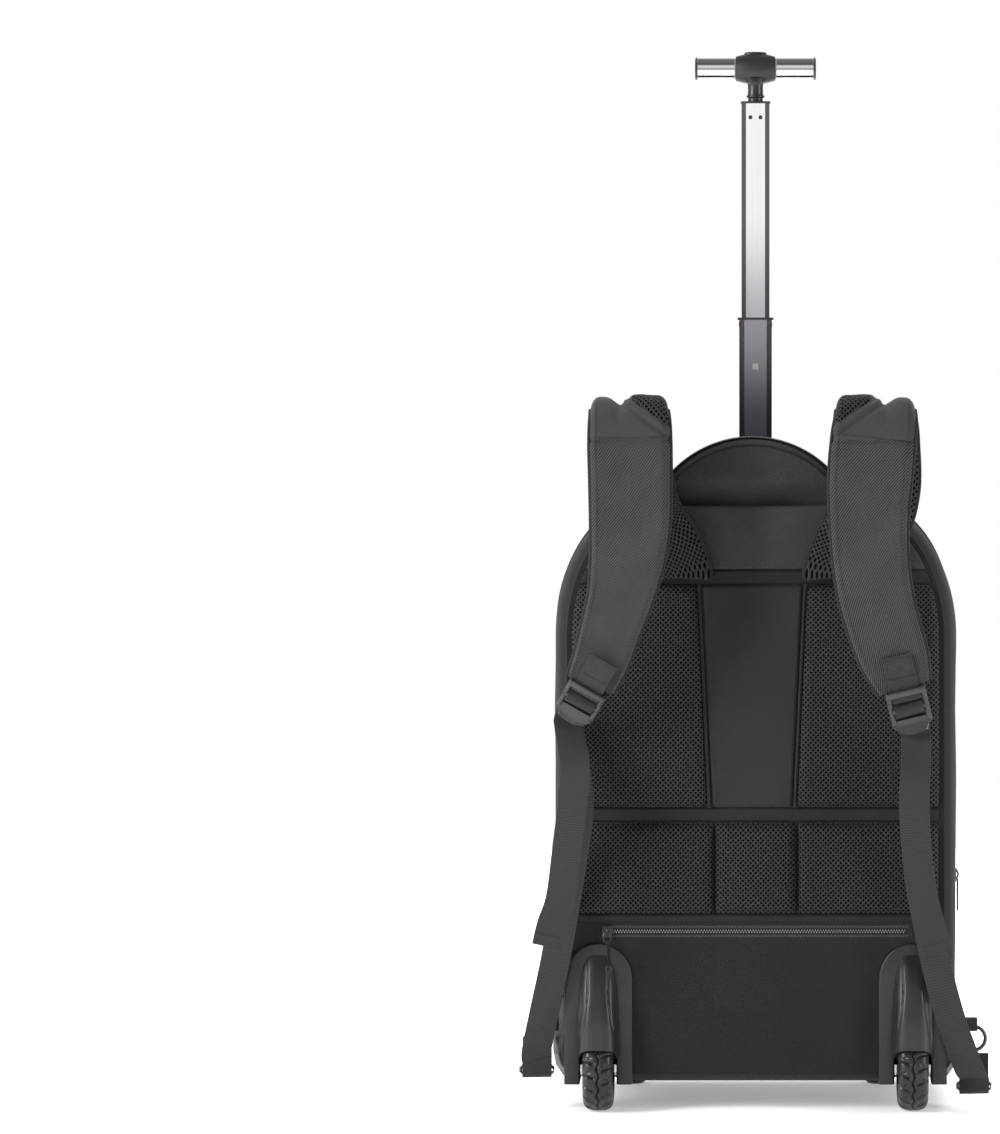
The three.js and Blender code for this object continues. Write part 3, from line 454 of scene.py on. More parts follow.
def moulded(name, colour, roughness=0.45, grain=0.08 * MM, scale=900.0):
    """Plastic or rubber with a fine spark grain and slightly worn, uneven gloss."""
    material, shader = new_material(name, colour, roughness, specular=0.4)
    fine = add_node(material, "ShaderNodeTexNoise", Vector=coordinates(material, "Object", (1, 1, 1)),
                    Scale=scale, Detail=2.0)
    bump(material, shader, fine.outputs[0], grain, 0.6)
    link(material, mottle(material, "Object", 40.0, roughness - 0.07, roughness + 0.1), shader.inputs["Roughness"])
    tint = mottle(material, "Object", 18.0, 0.0, 1.0)
    link(material, blend_colours(material, tint, times(colour, 0.8), times(colour, 1.15)), shader.inputs["Base Color"])
    return material


def polished(name, colour, roughness, brush_scale=(4000.0, 60.0, 60.0), painted_shade_ramp=None):
    """Metal with faint drawn lines. The last argument is (low z, high z, colour low down) for painted shade: a tone
    that darkens towards a tube's lower end, with more painted shade where the tube turns away to the sides.
    """
    material, shader = new_material(name, colour, roughness, 1.0)
    lines = add_node(material, "ShaderNodeTexNoise", Vector=coordinates(material, "Object", brush_scale),
                     Scale=1.0, Detail=2.0)
    uneven = remap(material, lines.outputs[0], 0.0, 1.0, max(roughness - 0.05, 0.02), roughness + 0.08)
    link(material, uneven, shader.inputs["Roughness"])
    if painted_shade_ramp:
        low_z, high_z, shaded_low_colour = painted_shade_ramp
        # Painted shade: the colour darkens towards the tube's lower end and is multiplied down on its flanks
        split = add_node(material, "ShaderNodeSeparateXYZ", Vector=coordinates(material, "Object", (1, 1, 1)))
        rise = remap(material, split.outputs[2], low_z, high_z, curve="SMOOTHSTEP")
        drawn = blend_colours(material, rise, shaded_low_colour, colour)
        normal = add_node(material, "ShaderNodeNewGeometry").outputs["Normal"]
        facing = add_node(material, "ShaderNodeSeparateXYZ", Vector=normal)
        flank = remap(material, maths(material, "ABSOLUTE", facing.outputs[0]), 0.2, 0.45)
        sides = blend_colours(material, flank, drawn, FLANK_PAINTED_SHADE, "MULTIPLY")
        link(material, sides, shader.inputs["Base Color"])
    return material


# Painted shade: what a tube's tone is multiplied by where it turns away to the sides
FLANK_PAINTED_SHADE = (0.52, 0.48, 0.47)
TWILL = twill("charcoal_twill", (0.0108, 0.0108, 0.0114))
FINE_TWILL = twill("fine_charcoal_twill", (0.0185, 0.0185, 0.0192), 1.3 * MM, math.radians(-40), contrast=0.5)
BAND_TWILL = twill("band_twill", (0.034, 0.034, 0.035), 1.8 * MM, math.radians(-40), contrast=0.6)
COVER_TWILL = twill("strap_cover_twill", (0.032, 0.032, 0.033), 1.3 * MM, math.radians(-40), contrast=0.3,
                    depth=0.15 * MM)
STRAP_TWILL = twill("strap_twill", (0.038, 0.038, 0.039), 1.9 * MM, math.radians(36), contrast=1.0, depth=0.5 * MM,
                    thread_share=0.2)
AIR_MESH = air_mesh("black_air_mesh", (0.0138, 0.0138, 0.0144))
BINDING = ribbed("black_binding", (0.0115, 0.0115, 0.012), 0.9 * MM)
PIPING = ribbed("black_piping", (0.011, 0.011, 0.012), 0.9 * MM)
WEBBING = ribbed("charcoal_webbing", (0.024, 0.024, 0.025), 0.9 * MM)
TAB_WEB = ribbed("ring_tab_webbing", (0.03, 0.03, 0.031), 1.1 * MM, "Object", "Z")
THREAD = moulded("black_thread", (0.008, 0.008, 0.0085), 0.5, 0.05 * MM, 3000.0)
# Zipper tape in near-black: partly its own dark colour, partly painted shade of the gaps beside the coil
ZIP_TAPE_AND_GAP_SHADE = ribbed("zip_tape_and_gap_shade", (0.0045, 0.0045, 0.005), 0.8 * MM)
COIL = moulded("zip_coil", (0.13, 0.13, 0.135), 0.22, 0.01 * MM)
HOUSING = moulded("charcoal_moulding", (0.0125, 0.0125, 0.013), 0.4, 0.03 * MM)
BUCKLE = moulded("satin_moulding", (0.028, 0.028, 0.029), 0.22, 0.02 * MM)
GRIP = moulded("grip_moulding", (0.012, 0.012, 0.013), 0.32, 0.03 * MM)
RUBBER = moulded("black_rubber", (0.012, 0.012, 0.012), 0.36, 0.06 * MM, 500.0)
DARK_METAL = polished("black_plated_metal", (0.075, 0.075, 0.08), 0.26)
STEEL = polished("brushed_steel", (0.42, 0.42, 0.43), 0.3)
CHROME = polished("polished_chrome", (0.62, 0.61, 0.61), 0.08)
# The silver and gunmetal tubes carry painted shade: darker low down and on their flanks
SILVER = polished("silver_tube", (0.96, 0.955, 0.97), 0.12, (300.0, 300.0, 8.0), (0.665, 0.77, (0.5, 0.49, 0.52)))
GUNMETAL = polished("gunmetal_tube", (0.38, 0.37, 0.4), 0.2, (300.0, 300.0, 8.0), (0.585, 0.675, (0.07, 0.07, 0.082)))


# Camera, floor and light

def make_camera():
    data = bpy.data.cameras.new("camera")
    camera = placed("camera", data)
    camera.location = (0, BACK_Y - CAMERA_DISTANCE, CAMERA_Z)
    camera.rotation_euler = (math.pi / 2, 0, 0)
    data.sensor_width = SENSOR
    data.lens = SENSOR * CAMERA_DISTANCE / (PHOTO_HEIGHT * PIXEL)
    data.shift_x = (PHOTO_WIDTH / 2 - BAG_PIXEL_X) / PHOTO_HEIGHT
    middle_z = (FLOOR_PIXEL_Y - PHOTO_HEIGHT / 2) * PIXEL
    data.shift_y = (middle_z - CAMERA_Z) / (PHOTO_HEIGHT * PIXEL)
    bpy.context.scene.camera = camera


def make_floor():
    bpy.ops.object.select_all(action="DESELECT")
    bpy.ops.mesh.primitive_plane_add(size=7.2, location=(0, -1.4, 0))
    floor = settle(bpy.context.object)
    floor.name = "floor"
    material, shader = new_material("pale_floor", (0.93, 0.93, 0.93), 0.8, specular=0.2)
    shader.inputs["Emission Color"].default_value = (1, 1, 1, 1)
    shader.inputs["Emission Strength"].default_value = 0.3
    floor.data.materials.append(material)


def area_light(name, place, target, size, power, mirrored=True):
    data = bpy.data.lights.new(name, "AREA")
    data.shape = "RECTANGLE"
    data.size, data.size_y = size
    data.energy = power
    light = placed(name, data)
    light.location = place
    light.visible_glossy = mirrored
    light.rotation_euler = (Vector(target) - Vector(place)).to_track_quat("-Z", "Y").to_euler()


def make_world():
    """White behind the bag, darker to the sides, and a bright band behind the camera for the metal to mirror."""
    world = bpy.data.worlds.new("studio")
    bpy.context.scene.world = world
    world.use_nodes = True
    tree = world.node_tree
    place = tree.nodes.new("ShaderNodeTexCoord")
    split = tree.nodes.new("ShaderNodeSeparateXYZ")
    tree.links.new(place.outputs["Generated"], split.inputs[0])

    def ramp(source, stops):
        half = tree.nodes.new("ShaderNodeMapRange")
        half.inputs["From Min"].default_value = -1
        tree.links.new(source, half.inputs["Value"])
        made = tree.nodes.new("ShaderNodeValToRGB")
        while len(made.color_ramp.elements) < len(stops):
            made.color_ramp.elements.new(0.5)
        for element, (position, value) in zip(made.color_ramp.elements, stops):
            element.position = (position + 1) / 2
            element.color = (value, value, value, 1)
        tree.links.new(half.outputs[0], made.inputs[0])
        return made.outputs[0]

    height = ramp(split.outputs[2], [(-1, 0.25), (-0.03, 0.25), (0.01, 1), (0.5, 1), (0.62, 0.2), (1, 0.2)])
    across = ramp(split.outputs[0], [(-1, 0.3), (-0.2, 0.3), (-0.12, 1), (0.12, 1), (0.2, 0.22), (1, 0.22)])
    depth = ramp(split.outputs[1], [(-1, 0), (-0.7, 0.1), (-0.45, 0.2), (0.45, 0.25), (0.7, 1), (1, 1)])
    behind = ramp(split.outputs[1], [(-1, 1), (-0.8, 1), (-0.6, 0), (1, 0)])
    front = tree.nodes.new("ShaderNodeMix")
    front.data_type = "RGBA"
    front.blend_type = "MULTIPLY"
    front.inputs[0].default_value = 1
    tree.links.new(height, front.inputs[6])
    tree.links.new(across, front.inputs[7])
    mixed = tree.nodes.new("ShaderNodeMix")
    mixed.data_type = "RGBA"
    tree.links.new(behind, mixed.inputs[0])
    tree.links.new(depth, mixed.inputs[6])
    tree.links.new(front.outputs[2], mixed.inputs[7])
    tree.links.new(mixed.outputs[2], tree.nodes["Background"].inputs[0])
    tree.nodes["Background"].inputs[1].default_value = 1.0


def make_lights():
    make_world()
    area_light("overhead", (0, 1.4, 3.2), (0, 0.2, 0), (3.2, 3.2), 190, False)
    area_light("key", (-2.3, -1.5, 1.4), (0, 0, 0.35), (0.9, 1.6), 110)
    area_light("fill", (2.4, -1.2, 1.0), (0, 0, 0.3), (0.5, 1.8), 42)
    bpy.context.scene.view_settings.view_transform = "Standard"


make_camera()
make_floor()
make_lights()


# The bag's outline and skins

ZIP_LOW, ZIP_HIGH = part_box("main_zipper")
ZIP_END_Z = ZIP_LOW.z
AXLE_X = (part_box("tyre_right")[0].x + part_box("tyre_right")[1].x) / 2
ZIP_TAPE_WIDTH = 0.0186
WELL_HALF = 0.0181
WELL_TOP = 0.078
WELL_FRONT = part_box("wheel_housing_right")[1].y + 0.0003
CORNER_STEPS = 6
WELL_ROW = 8  # the row of STATIONS that lies at the front of the wheel wells
# Rows of (place, as a share of the depth; inset, as a share of the panel's own).
STATIONS = [
    (0, 1), (0.004, 0.86), (0.014, 0.72), (0.028, 0.5), (0.05, 0.29), (0.085, 0.12), (0.13, 0.03), (0.19, 0),
    (0.2457, 0), (0.345, 0), (0.42, 0), (0.5, 0), (0.58, 0), (0.602, 0), (0.66, 0), (0.70, 0), (0.75, 0), (0.81, 0.02),
    (0.87, 0.13), (0.92, 0.33), (0.96, 0.66), (0.985, 1.0), (1, 1.4),
]


def ease(value, low, high):
    share = min(max((value - low) / (high - low), 0.0), 1.0)
    return share * share * (3 - 2 * share)


def ripple(x, y, z, scale, height):
    return height * noise.noise(Vector((x * scale + 3.1, y * scale + 7.7, z * scale + 1.3)))


def half_outline(inset):
    """Points (x, z) up the +X side, from the middle of the bottom to the middle of the top."""
    corner = HALF - BOTTOM_RADIUS
    points = [(x, BOTTOM + inset) for x in (0, 0.03, 0.06, 0.09, AXLE_X - WELL_HALF, AXLE_X, corner)]
    radius = BOTTOM_RADIUS - inset
    for step in range(1, CORNER_STEPS + 1):
        angle = math.pi / 2 * step / CORNER_STEPS
        points.append((corner + radius * math.sin(angle), BOTTOM + BOTTOM_RADIUS - radius * math.cos(angle)))
    low, high = BOTTOM + BOTTOM_RADIUS, TOP - SHOULDER_DROP
    points += [(HALF - inset, low + (high - low) * step / 34) for step in range(1, 35)]
    for step in range(1, 19):
        angle = math.pi / 2 * step / 18
        points.append((HALF - SHOULDER_RUN + (SHOULDER_RUN - inset) * math.cos(angle),
                       high + (SHOULDER_DROP - inset) * math.sin(angle)))
    points += [((HALF - SHOULDER_RUN) * (1 - step / 10), TOP - inset) for step in range(1, 11)]
    return points


def outline(inset):
    right = half_outline(inset)
    return right + [(-x, z) for x, z in reversed(right[:-1])]


def half_width(z, inset):
    if z < BOTTOM + BOTTOM_RADIUS:
        drop = BOTTOM + BOTTOM_RADIUS - z
        return HALF - BOTTOM_RADIUS + math.sqrt(max((BOTTOM_RADIUS - inset) ** 2 - drop * drop, 0))
    if z > TOP - SHOULDER_DROP:
        rise = (z - TOP + SHOULDER_DROP) / (SHOULDER_DROP - inset)
        return HALF - SHOULDER_RUN + (SHOULDER_RUN - inset) * math.sqrt(max(1 - rise * rise, 0))
    return HALF - inset


def inset_at(share):
    for (place, inset), (next_place, next_inset) in zip(STATIONS, STATIONS[1:]):
        if share <= next_place:
            part = (share - place) / (next_place - place)
            return PANEL_INSET * (inset + (next_inset - inset) * part)
    return PANEL_INSET * STATIONS[-1][1]


def belly(z, share):
    """How far the filled gusset swells past its outline."""
    return 0.0022 * math.sin(math.pi * share) ** 2 * ease(z, 0.105, 0.2) * (1 - ease(z, 0.43, 0.5))


def gusset_line(y, out=0.0):
    """The skin's points round the bag at one depth, pushed out by a distance."""
    share = (y - BACK_Y) / DEPTH
    inset = inset_at(share)
    base = outline(inset)
    shifted = outline(inset - 0.001)
    line = []
    for (x, z), (x1, z1) in zip(base, shifted):
        away = Vector((x1 - x, 0, z1 - z))
        away = away.normalized() if away.length > 1e-6 else Vector((0, 0, -1))
        if abs(x) < HALF - BOTTOM_RADIUS and z < BOTTOM + BOTTOM_RADIUS:
            away = Vector((0, 0, -1))
        soft = ease(z, 0.1, 0.14) * (1 - ease(z, 0.46, 0.505)) * ease(share, 0.05, 0.2) * (1 - ease(share, 0.9, 1))
        wave_height = ripple(x, y, z, 21, 0.0011) * soft
        line.append(Vector((x, y, z)) + away * (out + belly(z, share) + wave_height))
    return line


def drop_faces(piece, unwanted):
    """Deletes the faces whose centre unwanted(centre) picks."""
    picks = [unwanted(face.center) for face in piece.data.polygons]
    select_only(piece)
    bpy.ops.object.mode_set(mode="EDIT")
    bpy.ops.mesh.select_mode(type="FACE")
    bpy.ops.mesh.select_all(action="DESELECT")
    bpy.ops.object.mode_set(mode="OBJECT")
    for face, pick in zip(piece.data.polygons, picks):
        face.select = pick
    bpy.ops.object.mode_set(mode="EDIT")
    bpy.ops.mesh.delete(type="FACE")
    bpy.ops.mesh.select_mode(type="VERT")
    bpy.ops.object.mode_set(mode="OBJECT")


def planar_uv(piece):
    """Lays the UV map flat in X and Z, in metres."""
    mesh = piece.data
    for loop, uv in zip(mesh.loops, mesh.uv_layers.active.data):
        point = mesh.vertices[loop.vertex_index].co
        uv.uv = (point.x, point.z)


def in_well(centre):
    return (abs(abs(centre.x) - AXLE_X) < WELL_HALF and centre.y < WELL_FRONT and centre.z < WELL_TOP)


def in_sleeve(centre):
    """The opening for the handle's sleeve, which the bezel covers."""
    share = (centre.y - BACK_Y) / DEPTH
    return centre.z > TOP - 0.01 and abs(centre.x) < 0.0192 and 0.19 < share < 0.345


def make_gusset():
    depths = [BACK_Y + DEPTH * place for place, _ in STATIONS]
    depths[WELL_ROW] = WELL_FRONT
    lines = [gusset_line(y) for y in depths]
    around = len(lines[0])
    gusset = surface("gusset_skin", around - 1, len(lines) - 1, from_rows(lines))
    measured(gusset, run_lengths(lines[10]), run_lengths([line[around // 4] for line in lines]))
    drop_faces(gusset, lambda centre: in_well(centre) or in_sleeve(centre))
    in_edit(gusset, weld(), face_out)
    modify(gusset, "SUBSURF", levels=1)
    modify(gusset, "SOLIDIFY", thickness=SKIN, offset=-1)
    dress(gusset, TWILL, "twill", replaces=("back_shell", "front_shell"))


def make_panel(name, y, inset, out, rows=60, columns=48, well=False):
    """A flat cloth panel that fills the outline at one depth. out is -1 at the back, 1 at the front."""
    low, high = BOTTOM + inset, TOP - inset

    def point(u, v):
        z = low + (high - low) * v
        x = (2 * u - 1) * half_width(z, inset)
        if well:
            calm = (1 - ease(abs(x), 0.085, 0.103)) * ease(z, 0.03, 0.06) * (1 - ease(z, 0.125, 0.143))
            swell = calm * (0.0018 + ripple(x, 0, z, 26, 0.0018))
        else:
            calm = math.cos(math.pi / 2 * (2 * u - 1)) ** 0.6 * math.sin(math.pi * v) ** 0.6
            swell = calm * 0.0045 + ripple(x, 1, z, 15, 0.0015) * calm
        return Vector((x, y + out * swell, z))

    panel = surface(name, columns, rows, point)
    if well:
        drop_faces(panel, lambda centre: abs(abs(centre.x) - AXLE_X) < 0.0195 and centre.z < WELL_TOP)
    planar_uv(panel)
    in_edit(panel, weld())
    modify(panel, "SOLIDIFY", thickness=SKIN * out, offset=-1)
    in_edit(panel, face_out)
    return dress(panel, TWILL, "twill")


def make_piping():
    back = [point for point in outline(PANEL_INSET) if point[1] > 0.128]
    turn_in = outline(PANEL_INSET - 0.0037)
    low_ends = [point for point in turn_in if 0.1 < point[1] < 0.12]
    right_end = sorted(point for point in low_ends if point[0] > 0)
    path = [Vector((x, BACK_Y + 0.0034, z)) for x, z in sorted(right_end, key=lambda p: p[1])]
    path += [Vector((x, BACK_Y - 0.0002, z)) for x, z in back]
    path += [Vector((-x, BACK_Y + 0.0034, z)) for x, z in sorted(right_end, key=lambda p: -p[1])]
    dress(tube_along("back_piping", path, 0.0013), PIPING, "binding")
    front = [Vector((x, FRONT_Y + 0.0002, z)) for x, z in outline(PANEL_INSET * 1.4)[:-1]]
    dress(tube_along("front_piping", front, 0.0016, closed_loop=True), PIPING, "binding")


def zip_coil(name, path, out, pitch=1.6 * MM, width=5.4 * MM, height=1.5 * MM):
    """Two rows of coil teeth along a path, which mesh in the middle."""
    places = []
    for side in (-1, 1):
        for at, along in spaced(path, pitch):
            away = out(at) if callable(out) else out
            across = away.cross(along).normalized() * side
            shift = along * (pitch / 4 * side)
            places.append(basis(at + shift + across * width * 0.22, across, away))
    tooth = bead(width * 0.55, pitch * 0.78, height)
    return dress(copies(name, tooth, places), COIL, "zipper")


def make_main_zipper():
    """Tape with a raised coil round the gusset, down to where the zipper ends on each side."""
    middle_y = (ZIP_LOW.y + ZIP_HIGH.y) / 2
    offsets = (-0.0093, -0.0085, -0.003, 0.003, 0.0085, 0.0093)
    lifts = (-0.0006, 0.0007, 0.0004, 0.0004, 0.0007, -0.0006)

    def above_end(offset, lift):
        return [point for point in gusset_line(middle_y + offset, lift) if point.z > ZIP_END_Z]

    lines = [above_end(offset, lift) for offset, lift in zip(offsets, lifts)]
    size = (run_lengths(lines[2])[-1], ZIP_TAPE_WIDTH)
    tape = surface("main_zip_tape", len(lines[0]) - 1, len(lines) - 1, from_rows(lines), size)
    modify(tape, "SOLIDIFY", thickness=0.0008, offset=-1)
    dress(tape, ZIP_TAPE_AND_GAP_SHADE, "zipper", replaces=("main_zipper",))
    fine = [Vector(point) for point in smooth_path([tuple(point) for point in above_end(0, 0.0011)], 500)]

    def out(at):
        if at.z < TOP - SHOULDER_DROP:
            return Vector((1 if at.x > 0 else -1, 0, 0))
        run = max(abs(at.x) - (HALF - SHOULDER_RUN), 0) / SHOULDER_RUN ** 2
        rise = (at.z - TOP + SHOULDER_DROP) / SHOULDER_DROP ** 2
        return Vector((math.copysign(run, at.x), 0, rise)).normalized()

    zip_coil("main_zip_coil", fine, out, 2.2 * MM)
    for offset in (-0.0064, 0.0064):
        places = [basis(at, along, out(at)) for at, along in spaced(above_end(offset, 0.0009), 3.4 * MM)]
        dress(copies("main_zip_stitches", bead(2.4 * MM, 0.5 * MM, 0.5 * MM), places), THREAD, "binding")
    edge = above_end(0, 0.0006)
    for end in (edge[-1], edge[0]):
        stop = block("zip_end_stop", (end.x, middle_y, ZIP_END_Z + 0.002), (0.0016, ZIP_TAPE_WIDTH, 0.006), 0.0006)
        dress(stop, BINDING, "binding")


def block(name, centre, size, bevel=0.0005, segments=2):
    """A box with rounded edges."""
    bpy.ops.object.select_all(action="DESELECT")
    bpy.ops.mesh.primitive_cube_add(size=1, location=centre)
    piece = bpy.context.object
    piece.name = name
    piece.scale = size
    settle(piece)
    modify(piece, "BEVEL", width=bevel, segments=segments, limit_method="NONE")
    return piece


make_gusset()
make_panel("back_panel_skin", BACK_Y, PANEL_INSET, -1, 74, 70, well=True)
make_panel("front_panel_skin", FRONT_Y, PANEL_INSET * 1.4, 1)
make_piping()
make_main_zipper()


# Pads, bindings and the pocket on the back panel

def spread(share):
    """Puts more of a grid's lines near both of its edges."""
    return 0.5 - 0.5 * math.cos(math.pi * share)


def rounded(distance, edge):
    share = min(max(distance / edge, 0.0), 1.0)
    return math.sqrt(max(1 - (1 - share) ** 2, 0.0))


def cushion(name, left, right, low, high, thick, edge, columns=40, rows=60, crown=0.0, softness=0.0):
    """A pad on the back panel, between left(z) and right(z), with rounded edges and a flat back."""
    wall = BACK_Y - 0.0003

    def point(u, v):
        z = low + (high - low) * spread(v)
        x0, x1 = left(z), right(z)
        x = x0 + (x1 - x0) * spread(u)
        side = rounded(min(x - x0, x1 - x), edge)
        end = rounded(min(z - low, high - z), edge)
        swell = crown * math.sin(math.pi * spread(u)) * math.sin(math.pi * spread(v))
        swell += ripple(x, 2, z, 24, softness)
        return Vector((x, wall - (thick * side * end + swell * side * end) - 0.00005, z))

    pad = surface(name, columns, rows, point)
    planar_uv(pad)
    in_edit(
        pad,
        lambda: bpy.ops.mesh.extrude_region_move(TRANSFORM_OT_translate={"value": (0, 0, 0)}),
        lambda: bpy.ops.transform.resize(value=(1, 0, 1), center_override=(0, wall, 0)),
        select_every, face_out,
    )
    return pad


def panel_edge(sign, margin=0.004):
    return lambda z: sign * (half_width(z, PANEL_INSET) - margin)


CENTRE_LOW, CENTRE_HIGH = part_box("centre_panel")
CENTRE_X = (CENTRE_LOW.x + CENTRE_HIGH.x) / 2
CENTRE_TOP_HALF = (CENTRE_HIGH.x - CENTRE_LOW.x) / 2
CENTRE_LOW_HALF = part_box("mesh_pad_right")[0].x - CENTRE_X


def centre_edge(sign, clear=0.0):
    def edge(z):
        share = (z - CENTRE_LOW.z) / (CENTRE_HIGH.z - CENTRE_LOW.z)
        return CENTRE_X + sign * (CENTRE_LOW_HALF + (CENTRE_TOP_HALF - CENTRE_LOW_HALF) * share + clear)
    return edge


def make_pads():
    for name, left, right in (("left", panel_edge(-1), centre_edge(-1, 0.0012)),
                              ("right", centre_edge(1, 0.0012), panel_edge(1))):
        low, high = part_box(f"mesh_pad_{name}")
        pad = cushion(f"mesh_pad_{name}_skin", left, right, low.z, high.z, BACK_Y - low.y - 0.0015, 0.009, 46, 80,
                      0.0024, 0.0008)
        dress(pad, AIR_MESH, "air_mesh", replaces=(f"mesh_pad_{name}",))
    panel = cushion("centre_panel_skin", centre_edge(-1, -0.0014), centre_edge(1, -0.0014), CENTRE_LOW.z, CENTRE_HIGH.z,
                    BACK_Y - CENTRE_LOW.y - 0.0008, 0.0035, 36, 80, 0.0016, 0.0005)
    dress(panel, FINE_TWILL, "twill", replaces=("centre_panel",))
    for sign in (-1, 1):
        edge = centre_edge(sign)
        heights = straight(CENTRE_LOW.z, CENTRE_HIGH.z, 40)
        path = [Vector((edge(z), CENTRE_LOW.y + 0.0006, z)) for z in heights]
        dress(tube_along("centre_piping", path, 0.0014), PIPING, "binding")
        shift = 0.0056 if sign < 0 else -0.0052
        row = [Vector((edge(z) + shift, CENTRE_LOW.y - 0.0002, z)) for z in heights[1:-1]]
        stitches("centre_stitches", row, VIEWER)
    low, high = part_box("lumbar_pad")
    parts = []
    for x0, x1 in ((low.x, -0.0355), (-0.0345, 0.0345), (0.0355, high.x)):
        parts.append(cushion("lumbar_part", lambda z, x=x0: x, lambda z, x=x1: x, low.z, high.z,
                             BACK_Y - low.y - 0.0015, 0.008, 30, 34, 0.003, 0.0009))
    lumbar = join("lumbar_pad_skin", parts)
    dress(lumbar, AIR_MESH, "air_mesh", replaces=("lumbar_pad",))


def make_binding(name, rows=(0.22, 0.78)):
    """A folded tape across the panel with a row of stitches near each edge."""
    low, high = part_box(name)
    left, right = panel_edge(-1, 0.0041), panel_edge(1, 0.0041)
    tape = cushion(f"{name}_tape", left, right, low.z, high.z, BACK_Y - low.y - 0.0006, 0.0016, 60, 14, 0.0, 0.0003)
    dress(tape, BINDING, "binding", replaces=(name,))
    for share in rows:
        z = low.z + (high.z - low.z) * share
        row = [Vector((x, low.y + 0.0003, z)) for x in straight(left(z) + 0.002, right(z) - 0.002, 40)]
        stitches(f"{name}_stitches", row, VIEWER)


BAND_RISE = 0.0095


def make_top_band():
    low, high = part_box("top_band")
    band = cushion("top_band_skin", panel_edge(-1), panel_edge(1), low.z, high.z + BAND_RISE, BACK_Y - low.y - 0.0006,
                   0.0022, 60, 26, 0.0006, 0.0005)
    for vertex in band.data.vertices:
        vertex.co.y += 0.3 * max(vertex.co.z - TOP + 0.004, 0)
    dress(band, BAND_TWILL, "twill", replaces=("top_band",))


def make_pocket_zip():
    low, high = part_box("pocket_zipper")
    middle = (low.z + high.z) / 2
    y = BACK_Y - 0.0004
    # The tape's near-black colour is partly painted shade of the gaps above and below the coil
    tape = cushion("pocket_zip_tape", lambda z: low.x, lambda z: high.x, low.z, high.z, 0.001, 0.0008, 40, 10)
    dress(tape, ZIP_TAPE_AND_GAP_SHADE, "zipper", replaces=("pocket_zipper",))
    path = [Vector((low.x + 0.004 + (high.x - low.x - 0.008) * step / 60, y - 0.0014, middle)) for step in range(61)]
    zip_coil("pocket_zip_coil", path, VIEWER, 2.3 * MM, 3.4 * MM, 1.8 * MM)
    for z in (middle + 0.0039, middle - 0.0039):
        lip = [Vector((low.x - 0.001 + (high.x - low.x + 0.002) * step / 60, y - 0.0012, z)) for step in range(61)]
        dress(tube_along("pocket_lip", lip, 0.0012), BAND_TWILL, "twill")
    row = [Vector((point.x, y - 0.0004, z - 0.0034)) for point in lip]
    stitches("pocket_stitches", row, VIEWER)
    for x in (low.x + 0.0006, high.x - 0.0006):
        stop = block("pocket_zip_stop", (x, y - 0.0014, middle), (0.004, 0.002, 0.012), 0.0006)
        dress(stop, BINDING, "binding")


make_pads()
make_binding("mid_binding")
make_binding("top_binding")
make_binding("low_binding", (0.5,))
make_top_band()
make_pocket_zip()


# The dome of the rear compartment

DOME_LOW, DOME_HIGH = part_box("rear_dome")
DOME_X = CENTRE_X
DOME_RADIUS = 0.0927
DOME_STEPS = 64
DOME_Z = DOME_HIGH.z - DOME_RADIUS


def dome_arc(radius, y, floor, steps=DOME_STEPS):
    reach = math.acos(min((floor - DOME_Z) / radius, 1))
    return [Vector((DOME_X + radius * math.sin(angle), y, DOME_Z + radius * math.cos(angle)))
            for angle in (reach * (2 * step / steps - 1) for step in range(steps + 1))]


